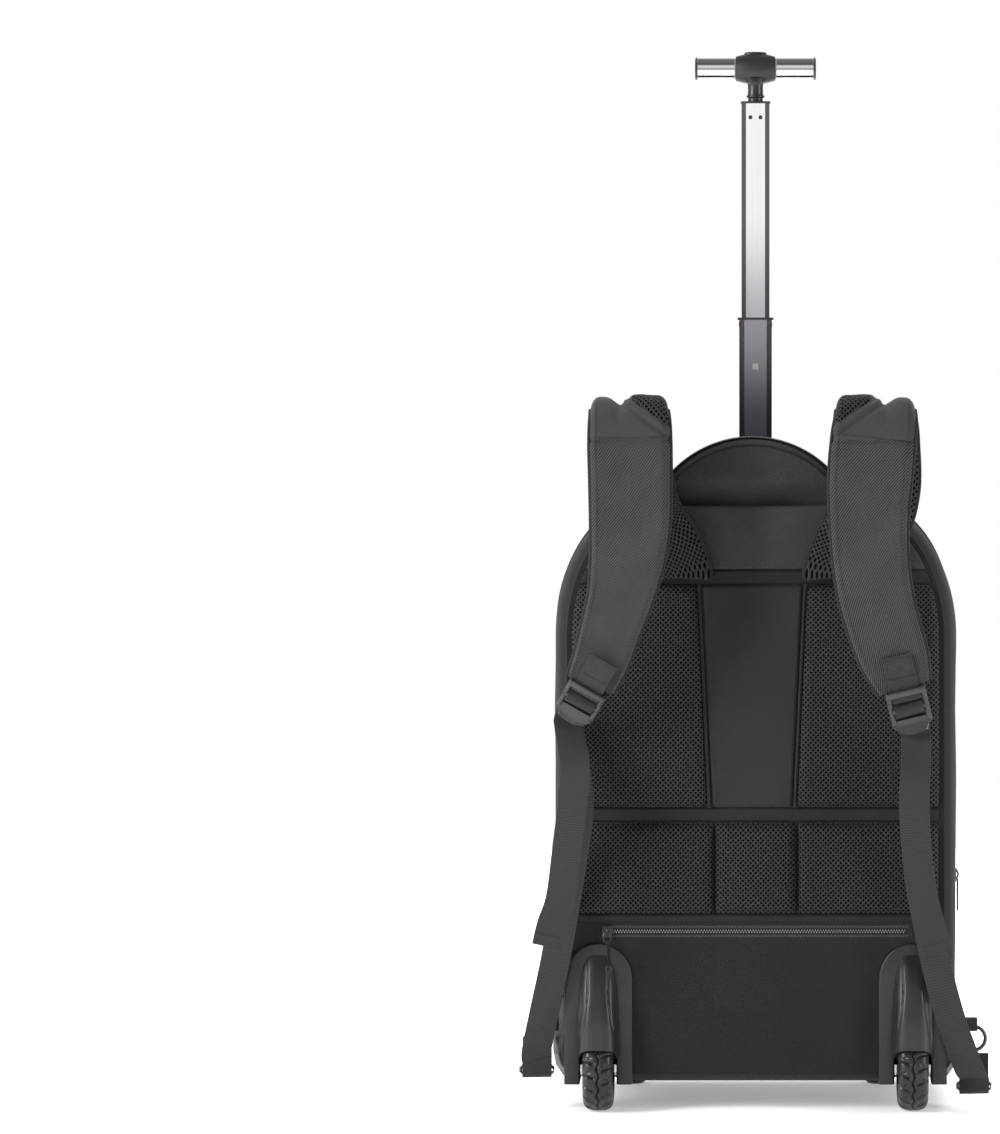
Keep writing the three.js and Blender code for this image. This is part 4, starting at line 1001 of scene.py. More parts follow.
def make_dome():
    floor = TOP - 0.012
    rows = [(0.005, DOME_LOW.y), (0.0026, DOME_LOW.y + 0.0012), (0.0009, DOME_LOW.y + 0.004),
            (0.0, DOME_LOW.y + 0.008), (0.0, DOME_HIGH.y - 0.007), (0.0012, DOME_HIGH.y - 0.003),
            (0.005, DOME_HIGH.y)]
    arcs = [dome_arc(DOME_RADIUS - inset, y, floor) for inset, y in rows]
    pieces = [surface("dome_skin", DOME_STEPS, len(arcs) - 1, from_rows(arcs), (0.24, 0.03))]
    for y, out in ((DOME_LOW.y, -1), (DOME_HIGH.y, 1)):
        arc = dome_arc(DOME_RADIUS - 0.005, y, floor)

        def face(u, v, arc=arc, y=y, out=out):
            edge = arc[round(u * DOME_STEPS)]
            z = floor + (edge.z - floor) * (1 - (1 - v) ** 1.5)
            swell = 0.0035 * math.sin(math.pi * u) ** 0.7 * (1 - v) ** 0.5 + ripple(edge.x, 3, z, 30, 0.0008) * (1 - v)
            if out < 0:
                swell -= 0.0085 * (1 - ease(z, TOP + 0.005, TOP + 0.022)) * math.sin(math.pi * u) ** 0.3
            return Vector((edge.x, y + out * swell, z))

        panel = surface("dome_face", DOME_STEPS, 24, face)
        planar_uv(panel)
        pieces.append(panel)
    dome = join("dome_skin", pieces)
    in_edit(dome, weld(2e-5), face_out)
    dress(dome, BAND_TWILL, "twill", replaces=("rear_dome",))
    line = [point + Vector((0, -0.0012, 0)) for point in dome_arc(DOME_RADIUS - 0.0062, DOME_LOW.y, TOP + 0.002)]
    dress(tube_along("dome_piping", line, 0.0011), PIPING, "binding")
    coil_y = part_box("dome_zipper")[0].y + 0.0025
    coil = dome_arc(DOME_RADIUS + 0.0006, coil_y, TOP + 0.0006, 200)

    def out(at):
        return Vector((at.x - DOME_X, 0, at.z - DOME_Z)).normalized()

    zip_coil("dome_zip_coil", coil, out, 2.6 * MM, 5.4 * MM, 2.2 * MM)
    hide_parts("dome_zipper")
    arcs_tape = [dome_arc(DOME_RADIUS + lift, coil_y + shift, TOP + 0.0004)
                 for shift, lift in ((-0.0075, 0.0001), (-0.007, 0.0006), (0.007, 0.0006), (0.0075, 0.0001))]
    tape = surface("dome_zip_tape", DOME_STEPS, 3, from_rows(arcs_tape), (0.24, 0.015))
    dress(tape, ZIP_TAPE_AND_GAP_SHADE, "zipper")


make_dome()


# Shoulder straps

STRAP_WIDTH = 0.068
STRAP_THICK = 0.012
STRAP_REACH = 0.06
HARNESS_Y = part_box("low_binding")[0].y - 0.0003
STRAP_MIDDLE_Y = HARNESS_Y - 0.5 * STRAP_REACH  # what is nearer than this is in the front run of a strap
BAG_HEIGHT = TOP - BOTTOM
STRAP_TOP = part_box("shoulder_strap_left")[1].z
SEAM_Z = 0.5705
# Rows of (across, share of the half width; out, share of the reach; up, share of the bag's height; width; thickness).
STRAP_PATHS = {
    "left": [
        (-0.42, 0.1, 0.872, 1.0, 0.6), (-0.425, 0.11, 0.884, 1.0, 0.7), (-0.47, 0.13, 0.92, 1, 0.85),
        (-0.56, 0.16, 0.97, 1, 1), (-0.61, 0.18, 1.03, 1, 1), (-0.62, 0.22, 1.1, 0.99, 1),
        (-0.622, 0.3, 1.145, 0.98, 1), (-0.622, 0.46, 1.168, 0.96, 1), (-0.62, 0.66, 1.168, 0.96, 1),
        (-0.617, 0.84, 1.145, 0.98, 1), (-0.615, 0.93, 1.1, 1, 1), (-0.612, 0.98, 1.04, 0.99, 1),
        (-0.612, 1, 0.97, 0.97, 1), (-0.63, 1, 0.9, 0.89, 1), (-0.665, 0.98, 0.84, 0.78, 1),
        (-0.71, 0.94, 0.79, 0.72, 1), (-0.755, 0.88, 0.74, 0.68, 0.95), (-0.808, 0.82, 0.695, 0.62, 0.7),
    ],
    "right": [
        (0.44, 0.1, 0.872, 1.0, 0.6), (0.445, 0.11, 0.884, 1.0, 0.7), (0.49, 0.13, 0.92, 1.02, 0.85),
        (0.56, 0.16, 0.97, 1.04, 1), (0.6, 0.18, 1.03, 1.05, 1), (0.6, 0.22, 1.1, 1.03, 1),
        (0.595, 0.3, 1.145, 1, 1), (0.592, 0.46, 1.168, 0.98, 1), (0.59, 0.66, 1.168, 0.98, 1),
        (0.588, 0.84, 1.145, 1, 1), (0.575, 0.93, 1.1, 1.02, 1), (0.56, 0.98, 1.04, 1.01, 1),
        (0.555, 1, 0.97, 0.95, 1), (0.565, 1, 0.9, 0.92, 1), (0.59, 0.98, 0.84, 0.9, 1),
        (0.635, 0.94, 0.785, 0.87, 1), (0.685, 0.88, 0.735, 0.82, 0.95), (0.728, 0.82, 0.69, 0.66, 0.7),
    ],
}
# Each fold at a strap's top: the notch in its edge, and where its two creases meet the inner edge.
FOLDS = {"left": (-0.1145, -0.074), "right": (0.1095, 0.066)}
STRAP_ROWS = 220
SECOND_CREASE = 0.27  # where the second crease starts, as a share of the way from the notch to the inner edge
CREASE_LOW = (0.5745, 0.5845)


def sections_of(side):
    """Frames down a strap: (point, across, out to the padded side, width, thickness)."""
    rows = smooth_path(STRAP_PATHS[side], STRAP_ROWS)
    points = [Vector((a * HALF, HARNESS_Y - o * STRAP_REACH, BOTTOM + u * BAG_HEIGHT)) for a, o, u, _, _ in rows]
    sections = []
    for i, (at, row) in enumerate(zip(points, rows)):
        along = (points[min(i + 1, len(points) - 1)] - points[max(i - 1, 0)]).normalized()
        across = Vector((1, 0, 0))
        across = (across - along * along.dot(across)).normalized()
        sections.append((at, across, across.cross(along), row[3] * STRAP_WIDTH, row[4] * STRAP_THICK))
    return sections


def creased(side, at, outer):
    """How far the outer face is pushed out at a point near the strap's folded top."""
    notch, inner = FOLDS[side]
    push = 0.0
    if outer and at.z > 0.56:
        for start, low in zip((notch, notch + (inner - notch) * SECOND_CREASE), CREASE_LOW):
            line_a, line_b = Vector((start, STRAP_TOP - 0.002)), Vector((inner, low))
            direction = (line_b - line_a).normalized()
            offset = Vector((at.x, at.z)) - line_a
            distance = offset.x * direction.y - offset.y * direction.x
            distance *= 1 if side == "left" else -1
            push -= 0.0021 * math.exp(-(distance / 0.0019) ** 2)
            push += 0.0014 * (ease(-distance, 0.0, 0.006) - 0.5 * ease(-distance, 0.006, 0.012))
        push -= 0.002 * math.exp(-((at.z - SEAM_Z) / 0.0016) ** 2)
        push *= ease(at.z, 0.563, 0.568)
    return push


def strap_point(side, section, s, t, lift=0.0):
    """A point in a strap's section, s across and t through it, both from -1 to 1, with its folds."""
    at, across, out, width, thick = section
    point = at + across * (s * width / 2) + out * (t * thick / 2)
    notch = FOLDS[side][0]
    near_top = ease(point.z, STRAP_TOP - 0.03, STRAP_TOP - 0.002)
    dip = 0.0052 * math.exp(-((point.x - notch) / 0.0058) ** 2)
    edge = max(1 - (1 - abs(s)) * width / 2 / 0.009, 0)
    dip += 0.0062 * (1 - math.sqrt(max(1 - edge * edge, 0)))
    point.z -= dip * near_top
    soft = ripple(point.x, point.y, point.z, 30, 0.0009)
    return point - out * (creased(side, point, t < 0) + (soft if t < 0 else 0) + lift)


def strap_half(name, side, sections, lower, count=52):
    """One face of the strap, from edge to edge: the cloth outside, or the mesh inside."""
    def point(u, v):
        angle = math.pi * u
        sign = -1 if lower else 1
        s = math.cos(angle) if lower else -math.cos(angle)
        t = sign * rounded(1 - abs(s), 0.22) * (1 - 0.12 * s * s) if abs(s) < 1 else 0.0
        return strap_point(side, sections[round(v * (STRAP_ROWS - 1))], s, t)

    face = surface(name, count, STRAP_ROWS - 1, point)
    measured(face, [STRAP_WIDTH / 2 * (1 - math.cos(math.pi * step / count)) for step in range(count + 1)],
             run_lengths([section[0] for section in sections]))
    return face


def fold_is_mesh(side, centre):
    """Whether the folded top shows its mesh at this place."""
    notch, inner = FOLDS[side]
    start = notch + (inner - notch) * SECOND_CREASE
    share = (centre.x - start) / (inner - start)
    line_z = STRAP_TOP - 0.002 - (STRAP_TOP - 0.002 - CREASE_LOW[1]) * share
    in_front = centre.y < STRAP_MIDDLE_Y
    return in_front and share > 0 and centre.z > line_z


def make_strap(side):
    sections = sections_of(side)
    outer = strap_half("strap_cloth", side, sections, True)
    outer.data.materials.append(STRAP_TWILL)
    outer.data.materials.append(AIR_MESH)
    outer.data.materials.append(COVER_TWILL)
    for face in outer.data.polygons:
        if fold_is_mesh(side, face.center):
            face.material_index = 1
        elif face.center.z > SEAM_Z:
            face.material_index = 2
    inner = strap_half("strap_mesh", side, sections, False)
    inner.data.materials.append(STRAP_TWILL)
    inner.data.materials.append(AIR_MESH)
    for face in inner.data.polygons:
        face.material_index = 1
    strap = join(f"shoulder_strap_{side}_cloth", [outer, inner])
    in_edit(strap, weld(5e-5), close_ends, face_out)
    shade(strap, 50)
    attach(strap, "bag")
    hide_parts(f"shoulder_strap_{side}")
    for s in (-1, 1):
        edge = [strap_point(side, section, s, 0) for section in sections]
        dress(tube_along(f"strap_binding_{side}", edge, 0.0019), BINDING, "binding")
        rows = [section for section in sections if section[0].y < STRAP_MIDDLE_Y]
        inset = 1 - 0.0052 / (STRAP_WIDTH / 2)
        row = [strap_point(side, section, s * inset, -1.0, 0.0001) for section in rows[12:-2]]
        stitches(f"strap_stitches_{side}", row, VIEWER, 3.0 * MM)
    front = [section for section in sections if section[0].y < HARNESS_Y - 0.7 * STRAP_REACH]
    seam = min(front, key=lambda section: abs(section[0].z - SEAM_Z - 0.0022))
    row = [strap_point(side, seam, s / 20, -1.0, 0.0001) for s in range(-18, 19)]
    stitches(f"strap_seam_{side}", row, VIEWER, 3.0 * MM)
    return sections


# Buckles, tabs and webbing

WEB_WIDTH = 0.025
WEB_THICK = 0.0015
BUCKLE_LIE = {"left": (-0.52, 0.5), "right": (0.24, 0.22)}
BUCKLE_LENGTH = 0.037
RAIL_X = 0.0152
RIBBED_BAR = 0.0147
RING_X = HALF + 0.015
YOKE_Y = -0.05505
HOOK_Z = {"left": 0.032, "right": 0.018}
TAB_LENGTH = 0.034
# Rows of (across, share of the half width; out, share of the strap's reach; up, share of the buckle's low end).
TAIL_PATHS = {
    "left": [(-0.886, 0.86, 0.9), (-0.894, 0.9, 0.81), (-0.924, 0.9, 0.68), (-0.955, 0.88, 0.56), (-1.0, 0.86, 0.49),
             (-1.024, 0.85, 0.438)],
    "right": [(0.785, 0.86, 0.9), (0.775, 0.9, 0.83), (0.79, 0.9, 0.7), (0.82, 0.88, 0.58), (0.865, 0.86, 0.49),
              (0.9, 0.85, 0.43)],
}
LOAD_PATHS = {
    "left": [(-0.87, 0.55, 0.8), (-0.9, 0.4, 0.66), (-0.945, 0.25, 0.52), (-0.995, 0.14, 0.38), (-1.05, 0.04, 0.25),
             (-1.09, -0.1, 0.15)],
    "right": [(0.785, 0.55, 0.8), (0.8, 0.44, 0.66), (0.835, 0.38, 0.54), (0.89, 0.34, 0.4), (0.965, 0.27, 0.25),
              (1.055, 0.07, 0.12)],
}


def buckle_frame(side, end):
    """A matrix with X across the strap, Y down along it and Z towards the viewer."""
    turn, lean = BUCKLE_LIE[side]
    across = Vector((math.cos(turn), 0, math.sin(turn)))
    down = Vector((math.sin(turn), lean, -math.cos(turn))).normalized()
    out = down.cross(across).normalized()
    origin = end + down * 0.004
    return Matrix.Translation(origin) @ Matrix((across, down, out)).transposed().to_4x4()


def web_strip(name, route, steps, sway=0.0):
    """A flat strip along a route of (point, across) pairs."""
    rows = smooth_path([(*at, *across) for at, across in route], steps)
    points = [Vector(row[:3]) for row in rows]
    ring = [(-1, -0.5), (-0.985, -1), (-0.5, -1.04), (0, -1.08), (0.5, -1.04), (0.985, -1), (1, -0.5),
            (1, 0.5), (0.985, 1), (0.5, 1.04), (0, 1.08), (-0.5, 1.04), (-0.985, 1), (-1, 0.5)]
    frames = []
    for i, row in enumerate(rows):
        along = (points[min(i + 1, steps - 1)] - points[max(i - 1, 0)]).normalized()
        across = Vector(row[3:])
        across = (across - along * along.dot(across)).normalized()
        frames.append((points[i], across, across.cross(along)))

    def point(u, v):
        s, t = ring[round(u * len(ring)) % len(ring)]
        at, across, out = frames[round(v * (steps - 1))]
        bend = sway * math.sin(5 * math.pi * v) * s
        return at + across * (s * WEB_WIDTH / 2) + out * (t * WEB_THICK / 2 + bend)

    strip = surface(name, len(ring), steps - 1, point, (2 * WEB_WIDTH, run_lengths(points)[-1]))
    in_edit(strip, weld(), close_ends, face_out)
    return dress(strip, WEBBING, "webbing", angle=35)


def local_block(matrix, name, centre, size, bevel):
    piece = block(name, centre, size, bevel, 3)
    piece.data.transform(matrix)
    return piece


def make_buckle(side, matrix):
    """A ladder lock: two side rails, a top bar, a ribbed middle bar and a lip that flares towards the viewer."""
    parts = []
    for sign in (-1, 1):
        parts.append(local_block(matrix, "rail", (sign * RAIL_X, 0.0136, 0), (0.0042, 0.0272, 0.0056), 0.0014))
    parts.append(local_block(matrix, "bar", (0, 0.0023, 0.0), (0.0315, 0.0046, 0.004), 0.0014))
    for sign in (-1, 1):
        parts.append(local_block(matrix, "riser", (sign * RAIL_X, 0.0008, 0.0048), (0.0042, 0.0098, 0.0092), 0.0018))
    parts.append(local_block(matrix, "crown", (0, -0.0012, 0.0084), (0.0346, 0.0058, 0.0034), 0.0015))
    parts.append(local_block(matrix, "bar", (0, RIBBED_BAR, 0.0006), (0.0300, 0.0046, 0.0044), 0.0014))
    for row in (-1, 1):
        parts.append(local_block(matrix, "rib", (0, RIBBED_BAR + row * 0.0012, 0.003), (0.026, 0.0009, 0.0012), 0.0004))

    def lip(u, v):
        s = 2 * u - 1
        down = 0.0232 + 0.0138 * v * (1 - 0.18 * s * s * v)
        half = 0.0172 - 0.0056 * ease(v, 0.25, 1.0)
        flare = 0.0036 * v ** 2 + 0.0006 * (1 - s * s)
        return matrix @ Vector((s * half, down, -0.0012 + flare))

    plate = surface("lip", 24, 12, lip)
    in_edit(plate, face_out)
    modify(plate, "SOLIDIFY", thickness=0.0034, offset=0)
    modify(plate, "BEVEL", width=0.0011, segments=3, limit_method="ANGLE", angle_limit=math.radians(50))
    parts.append(plate)
    buckle = join(f"buckle_{side}_moulding", parts)
    in_edit(buckle, face_out)
    dress(buckle, BUCKLE, "buckle_plastic", angle=45, replaces=(f"buckle_{side}",))


def tail_hem(side, route):
    """The turned end of the tail: a second thickness behind it, and a row of stitches across."""
    end, before = route[0][0], route[1][0]
    up = (before - end).normalized()
    across = Vector((1, 0, 0))
    across = (across - up * up.dot(across)).normalized()
    out = across.cross(up)
    out = out if out.y < 0 else -out
    fold = [(end + up * 0.0004 - out * 0.0016, across), (end + up * 0.013 - out * 0.0016, across)]
    web_strip(f"tail_hem_{side}", fold, 8)
    row = [end + up * 0.0095 + out * 0.0009 + across * (step * 0.0011) for step in range(-10, 11)]
    stitches(f"tail_stitches_{side}", row, out, 2.6 * MM, (2.0 * MM, 0.6 * MM, 0.6 * MM))


def make_webbing(side, matrix):
    web = WEB_THICK / 2 + 0.002 + 0.00045
    slot_top, slot_low, centre_low, lip_top = 0.0045, 0.0125, 0.017, 0.0235
    across = (matrix.to_3x3() @ Vector((1, 0, 0))).normalized()
    sideways = Vector((1, 0, 0))

    def local(v, w):
        return (matrix @ Vector((0, v, w)), across)

    tab_rows = [
        (-TAB_LENGTH, 0.0064), (-0.6 * TAB_LENGTH, 0.0066), (-0.011, 0.0058), (-0.003, 0.0050), (0.0022, web + 0.0011),
        (slot_top + 0.0008, web), (slot_top + 0.0028, 0.0012), (slot_top + 0.0026, -0.0016), (slot_top, -web),
        (0.0006, -web),
    ]
    tab = web_strip(f"strap_tab_{side}_web", [local(v, w) for v, w in tab_rows], 60)
    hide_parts(f"strap_tab_{side}")
    low, high, half = -TAB_LENGTH + 0.002, -0.0145, 0.0102
    corners = [(-half, low), (half, low), (half, high), (-half, high), (-half, low), (half, high)]
    lift = 0.0074
    box_path = [matrix @ Vector((x, v, lift)) for x, v in corners]
    cross = [matrix @ Vector((x, v, lift)) for x, v in ((half, low), (-half, high))]
    out = matrix.to_3x3() @ Vector((0, 0, 1))
    for path in (box_path, cross):
        stitches(f"tab_stitches_{side}", path, out, 2.4 * MM, (1.9 * MM, 0.6 * MM, 0.6 * MM))

    low_end = (matrix @ Vector((0, BUCKLE_LENGTH, 0))).z

    def routed(rows):
        return [(Vector((a * HALF, HARNESS_Y - o * STRAP_REACH, up * low_end)), sideways) for a, o, up in rows]

    over_bar = [
        (BUCKLE_LENGTH + 0.006, -web - 0.0009), (BUCKLE_LENGTH - 0.004, -web - 0.0006), (lip_top, -web - 0.0004),
        (lip_top - 0.0028, -0.0015), (centre_low + 0.0024, 0.0018), (centre_low - 0.0002, web + 0.0007),
        (slot_low + 0.0006, web + 0.0007), (slot_low - 0.0021, 0.0018), (slot_low - 0.0021, -0.0018),
        (slot_low + 0.001, -web - 0.002), (lip_top, -web - 0.0032), (BUCKLE_LENGTH + 0.006, -web - 0.0038),
    ]
    tail = routed(TAIL_PATHS[side])[::-1]
    load = routed(LOAD_PATHS[side])
    hook_x = math.copysign(RING_X, load[0][0].x)
    turn = 0.0015 * math.sqrt(2) + WEB_THICK / 2 + 0.0006
    fold = [(-turn, 0.009)]
    fold += [(-turn * math.cos(a), -turn * math.sin(a)) for a in (math.pi * step / 6 for step in range(7))]
    fold += [(turn, 0.004), (turn, 0.03)]
    down = [(Vector((hook_x, YOKE_Y + out_y, HOOK_Z[side] + up)), sideways) for out_y, up in fold]
    route = tail + [local(v, w) for v, w in over_bar] + load + down
    strip = web_strip(f"webbing_{side}_strip", route, 260, sway=0.0004)
    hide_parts(f"webbing_{side}")
    tail_hem(side, tail)


for side_name in ("left", "right"):
    strap_sections = make_strap(side_name)
    lie = buckle_frame(side_name, strap_sections[-1][0])
    make_buckle(side_name, lie)
    make_webbing(side_name, lie)


# Wheel housings, wheels and feet

PLATE_Y = BACK_Y - 0.0003
HOUSING_LOW, HOUSING_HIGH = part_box("wheel_housing_right")
HOUSING_HALF = (HOUSING_HIGH.x - HOUSING_LOW.x) / 2
COWL_HALF = 0.018
COWL_REACH = 0.0277
COWL_LIP_Z = 0.057
COWL_TOP_Z = 0.136
COWL_WALL = 0.0021
COWL_STEPS = 44
NOTCH_TOP = 0.0748
LINER_TOP = 0.0767
# Rows of (height, share of the cowl; half width; reach).
COWL_ROWS = [
    (0, 1, 1), (0.15, 0.995, 0.99), (0.3, 0.985, 0.95), (0.45, 0.97, 0.88), (0.6, 0.93, 0.76), (0.72, 0.86, 0.62),
    (0.83, 0.75, 0.46), (0.92, 0.6, 0.28), (0.98, 0.42, 0.12), (1, 0.2, 0.04),
]


def polygon(name, points, y, thick, bevel):
    """A plate: a flat outline in X and Z, drawn back by thick, with rounded edges."""
    mesh = bpy.data.meshes.new(name)
    mesh.from_pydata([(x, y, z) for x, z in points], [], [tuple(range(len(points)))])
    piece = placed(name, mesh)
    in_edit(
        piece,
        lambda: bpy.ops.mesh.extrude_region_move(TRANSFORM_OT_translate={"value": (0, thick, 0)}),
        select_every, face_out,
    )
    modify(piece, "BEVEL", width=bevel, segments=3, limit_method="ANGLE", angle_limit=math.radians(50))
    return piece


def make_housing(side, sign):
    x0 = sign * AXLE_X
    low = HOUSING_LOW.z
    spring = HOUSING_HIGH.z - HOUSING_HALF * 1.1
    arch = [(x0 + HOUSING_HALF * math.cos(a), spring + (HOUSING_HIGH.z - spring) * math.sin(a))
            for a in (math.pi * step / 40 for step in range(41))]
    slot = 0.0156
    points = [(x0 + HOUSING_HALF, low), *arch, (x0 - HOUSING_HALF, low), (x0 - slot, low), (x0 - slot, NOTCH_TOP),
              (x0 + slot, NOTCH_TOP), (x0 + slot, low)]
    plate = polygon("plate", points, PLATE_Y - 0.005, 0.005, 0.0013)
    rows = smooth_path(COWL_ROWS, COWL_STEPS + 1)

    def cowl(u, v, shrink=0.0):
        up, half, reach = rows[round(v * COWL_STEPS)]
        angle = math.pi * u
        c, s = math.cos(angle), math.sin(angle)
        across = math.copysign(abs(c) ** 0.72, c)
        out = max(s, 0) ** 0.66
        lip = COWL_LIP_Z - 0.002 - 0.009 * abs(across) ** 5
        z = lip + up * (COWL_TOP_Z - lip)
        crease_x = 0.47 + 0.22 * abs(up - 0.62) ** 1.4 * 4 * (1 if up < 0.62 else 0.5)
        flank = abs(across * half)
        ridge = ease(up, 0.12, 0.3) * (1 - ease(up, 0.86, 0.97))
        push = -0.0007 * math.exp(-((flank - crease_x) / 0.045) ** 2) * ridge
        push += 0.0006 * (1 - ease(flank, crease_x - 0.06, crease_x)) * ridge
        depth = out * (reach * COWL_REACH - shrink) + push * out
        return Vector((x0 + across * (half * COWL_HALF - shrink), PLATE_Y - 0.0005 - depth, z))

    outer = surface("cowl", 72, COWL_STEPS, cowl)
    inner = surface("cowl_inside", 72, COWL_STEPS, lambda u, v: cowl(u, v, COWL_WALL))
    rim = surface("cowl_rim", 72, 1, lambda u, v: cowl(u, 0, COWL_WALL * v))
    shell = join("cowl", [outer, inner, rim])
    in_edit(shell, weld(2e-5), face_out)
    liner_y = (PLATE_Y - 0.001 + HOUSING_HIGH.y) / 2
    liner = block("liner", (x0, liner_y, (low + LINER_TOP) / 2),
                  (0.0354, HOUSING_HIGH.y - PLATE_Y + 0.001, LINER_TOP - low), 0.0008, 1)
    drop_faces(liner, lambda centre: centre.z < low + 0.001 or centre.y < PLATE_Y + 0.001)
    modify(liner, "SOLIDIFY", thickness=0.002, offset=-1)
    housing = join(f"wheel_housing_{side}_moulding", [plate, shell, liner])
    dress(housing, HOUSING, "housing", angle=35, replaces=(f"wheel_housing_{side}",))


WHEEL_RADIUS = 0.036
TYRE_HALF = 0.013
TREAD_BLOCKS = 18
TYRE_BED = 0.69
TYRE_STEPS = 51
TYRE_CROWN = mirrored([(-1, TYRE_BED), (-1, 0.77), (-0.94, 0.87), (-0.7, 0.966), (-0.3, 0.998)], [(0, 1)])
CORE_ROWS = [(-0.0105, 0.0042), (-0.0105, 0.0075), (-0.0095, 0.0083), (-0.0078, 0.0125), (-0.0074, 0.0165),
             (-0.009, 0.0185), (-0.0098, 0.0215), (-0.0096, 0.0245)]


def tread_depth(angle, across):
    """How deep the tyre is cut at a place: a zigzag middle groove, slanted bars and a small pocket in each block."""
    turn = angle / (2 * math.pi) * TREAD_BLOCKS
    side = 0.5 if across > 0 else 0.0
    zigzag = 0.07 * math.sin(2 * math.pi * turn)
    depth = math.exp(-((across - zigzag) / 0.055) ** 2)
    phase = (turn + side + 0.45 * abs(across)) % 1.0
    bar = math.exp(-((phase - 0.5) / 0.085) ** 2) * ease(abs(across), 0.12, 0.3)
    pocket_phase = (turn + side + 0.1) % 1.0
    pocket = 0.75 * math.exp(-((pocket_phase - 0.06) / 0.1) ** 2 - ((abs(across) - 0.6) / 0.17) ** 2)
    return min(depth + bar + pocket, 1.0) * (1 - ease(abs(across), 0.93, 1.0))


def make_wheel(side, sign):
    low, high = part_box(f"tyre_{side}")
    centre = (low + high) / 2
    crown = smooth_path(TYRE_CROWN, TYRE_STEPS + 1)

    def tread(u, v):
        across, radius = crown[round(v * TYRE_STEPS)]
        angle = 2 * math.pi * u
        r = radius * WHEEL_RADIUS
        if abs(across) < 0.999 or radius > 0.8:
            r -= 0.0017 * tread_depth(angle, across)
        return centre + Vector((across * TYRE_HALF, r * math.cos(angle), r * math.sin(angle)))

    tyre = surface(f"tyre_{side}_tread", 360, TYRE_STEPS, tread, (0.226, 0.04))
    bed = surface("tyre_bed", 90, 1, lambda u, v: centre + Vector((
        (2 * v - 1) * TYRE_HALF, TYRE_BED * WHEEL_RADIUS * math.cos(2 * math.pi * u),
        TYRE_BED * WHEEL_RADIUS * math.sin(2 * math.pi * u))))
    tyre = join(f"tyre_{side}_tread", [tyre, bed])
    in_edit(tyre, weld(), face_out)
    dress(tyre, RUBBER, "tyre", f"wheel_{side}", 35, (f"tyre_{side}",))
    core = turned(f"wheel_core_{side}_moulding", [*mirrored(CORE_ROWS), CORE_ROWS[0]], "X", centre, 60)
    dress(core, HOUSING, "housing", f"wheel_{side}", 35, (f"wheel_core_{side}",))


def keep(node, finish, bevel=0.0, angle=35):
    """Shows a CAD node as it is, with its edges eased by a bevel and its own material."""
    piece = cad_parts[node]
    piece.data.materials.clear()
    piece.data.materials.append(finish)
    shade(piece, angle)
    if bevel:
        modifier = piece.modifiers.new("Edges", "BEVEL")
        modifier.width = bevel
        modifier.segments = 2
        modifier.limit_method = "ANGLE"
        modifier.angle_limit = math.radians(40)


def make_ring_and_hook(side):
    """A D-ring in its sewn loop, and the snap hook that holds the webbing's fold."""
    low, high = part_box(f"d_ring_{side}")
    centre = (low + high) / 2
    ring = [centre + Vector((0.01 * math.cos(a), 0, 0.01 * math.sin(a))) for a in
            turns(64)]
    dress(tube_along(f"d_ring_{side}_wire", ring, 0.0016, 14, True), DARK_METAL, "dark_metal",
          replaces=(f"d_ring_{side}",))
    snap_z = centre.z - 0.0135
    snap = [Vector((centre.x, centre.y + 0.007 * math.cos(a), snap_z + 0.007 * math.sin(a))) for a in
            turns(48)]
    parts = [tube_along("snap", snap, 0.0014, 12, True)]
    bar_z = HOOK_Z[side]
    top_z = bar_z + 0.007
    half = WEB_WIDTH / 2 + 0.0015
    frame_path = [(-half, bar_z), (-half, top_z - 0.0028), (-half + 0.0022, top_z - 0.001), (-0.004, top_z - 0.001),
                  (0.004, top_z - 0.001), (half - 0.0022, top_z - 0.001), (half, top_z - 0.0028), (half, bar_z)]
    wire = [Vector((centre.x + x, YOKE_Y, z)) for x, z in frame_path]
    parts.append(tube_along("yoke", wire + [wire[0]], 0.00135, 10))
    parts.append(block("shank", (centre.x, YOKE_Y, (top_z + snap_z) / 2 - 0.0006),
                       (0.0032, 0.0028, snap_z - top_z + 0.002), 0.0009))
    parts.append(block("swivel", (centre.x, YOKE_Y, top_z + 0.0012), (0.0062, 0.005, 0.0026), 0.0009))
    hook = join(f"snap_hook_{side}_metal", parts)
    in_edit(hook, face_out)
    dress(hook, DARK_METAL, "dark_metal", replaces=(f"snap_hook_{side}",))
    keep(f"ring_tab_{side}", TAB_WEB, 0.0012)


for side_name, sign in (("left", -1), ("right", 1)):
    make_housing(side_name, sign)
    make_wheel(side_name, sign)
    make_ring_and_hook(side_name)
    keep(f"axle_{side_name}", CHROME, 0.0004)
    keep(f"corner_guard_{side_name}", GRIP, 0.0008)
    keep(f"front_foot_{side_name}", RUBBER, 0.001)


# Zipper sliders

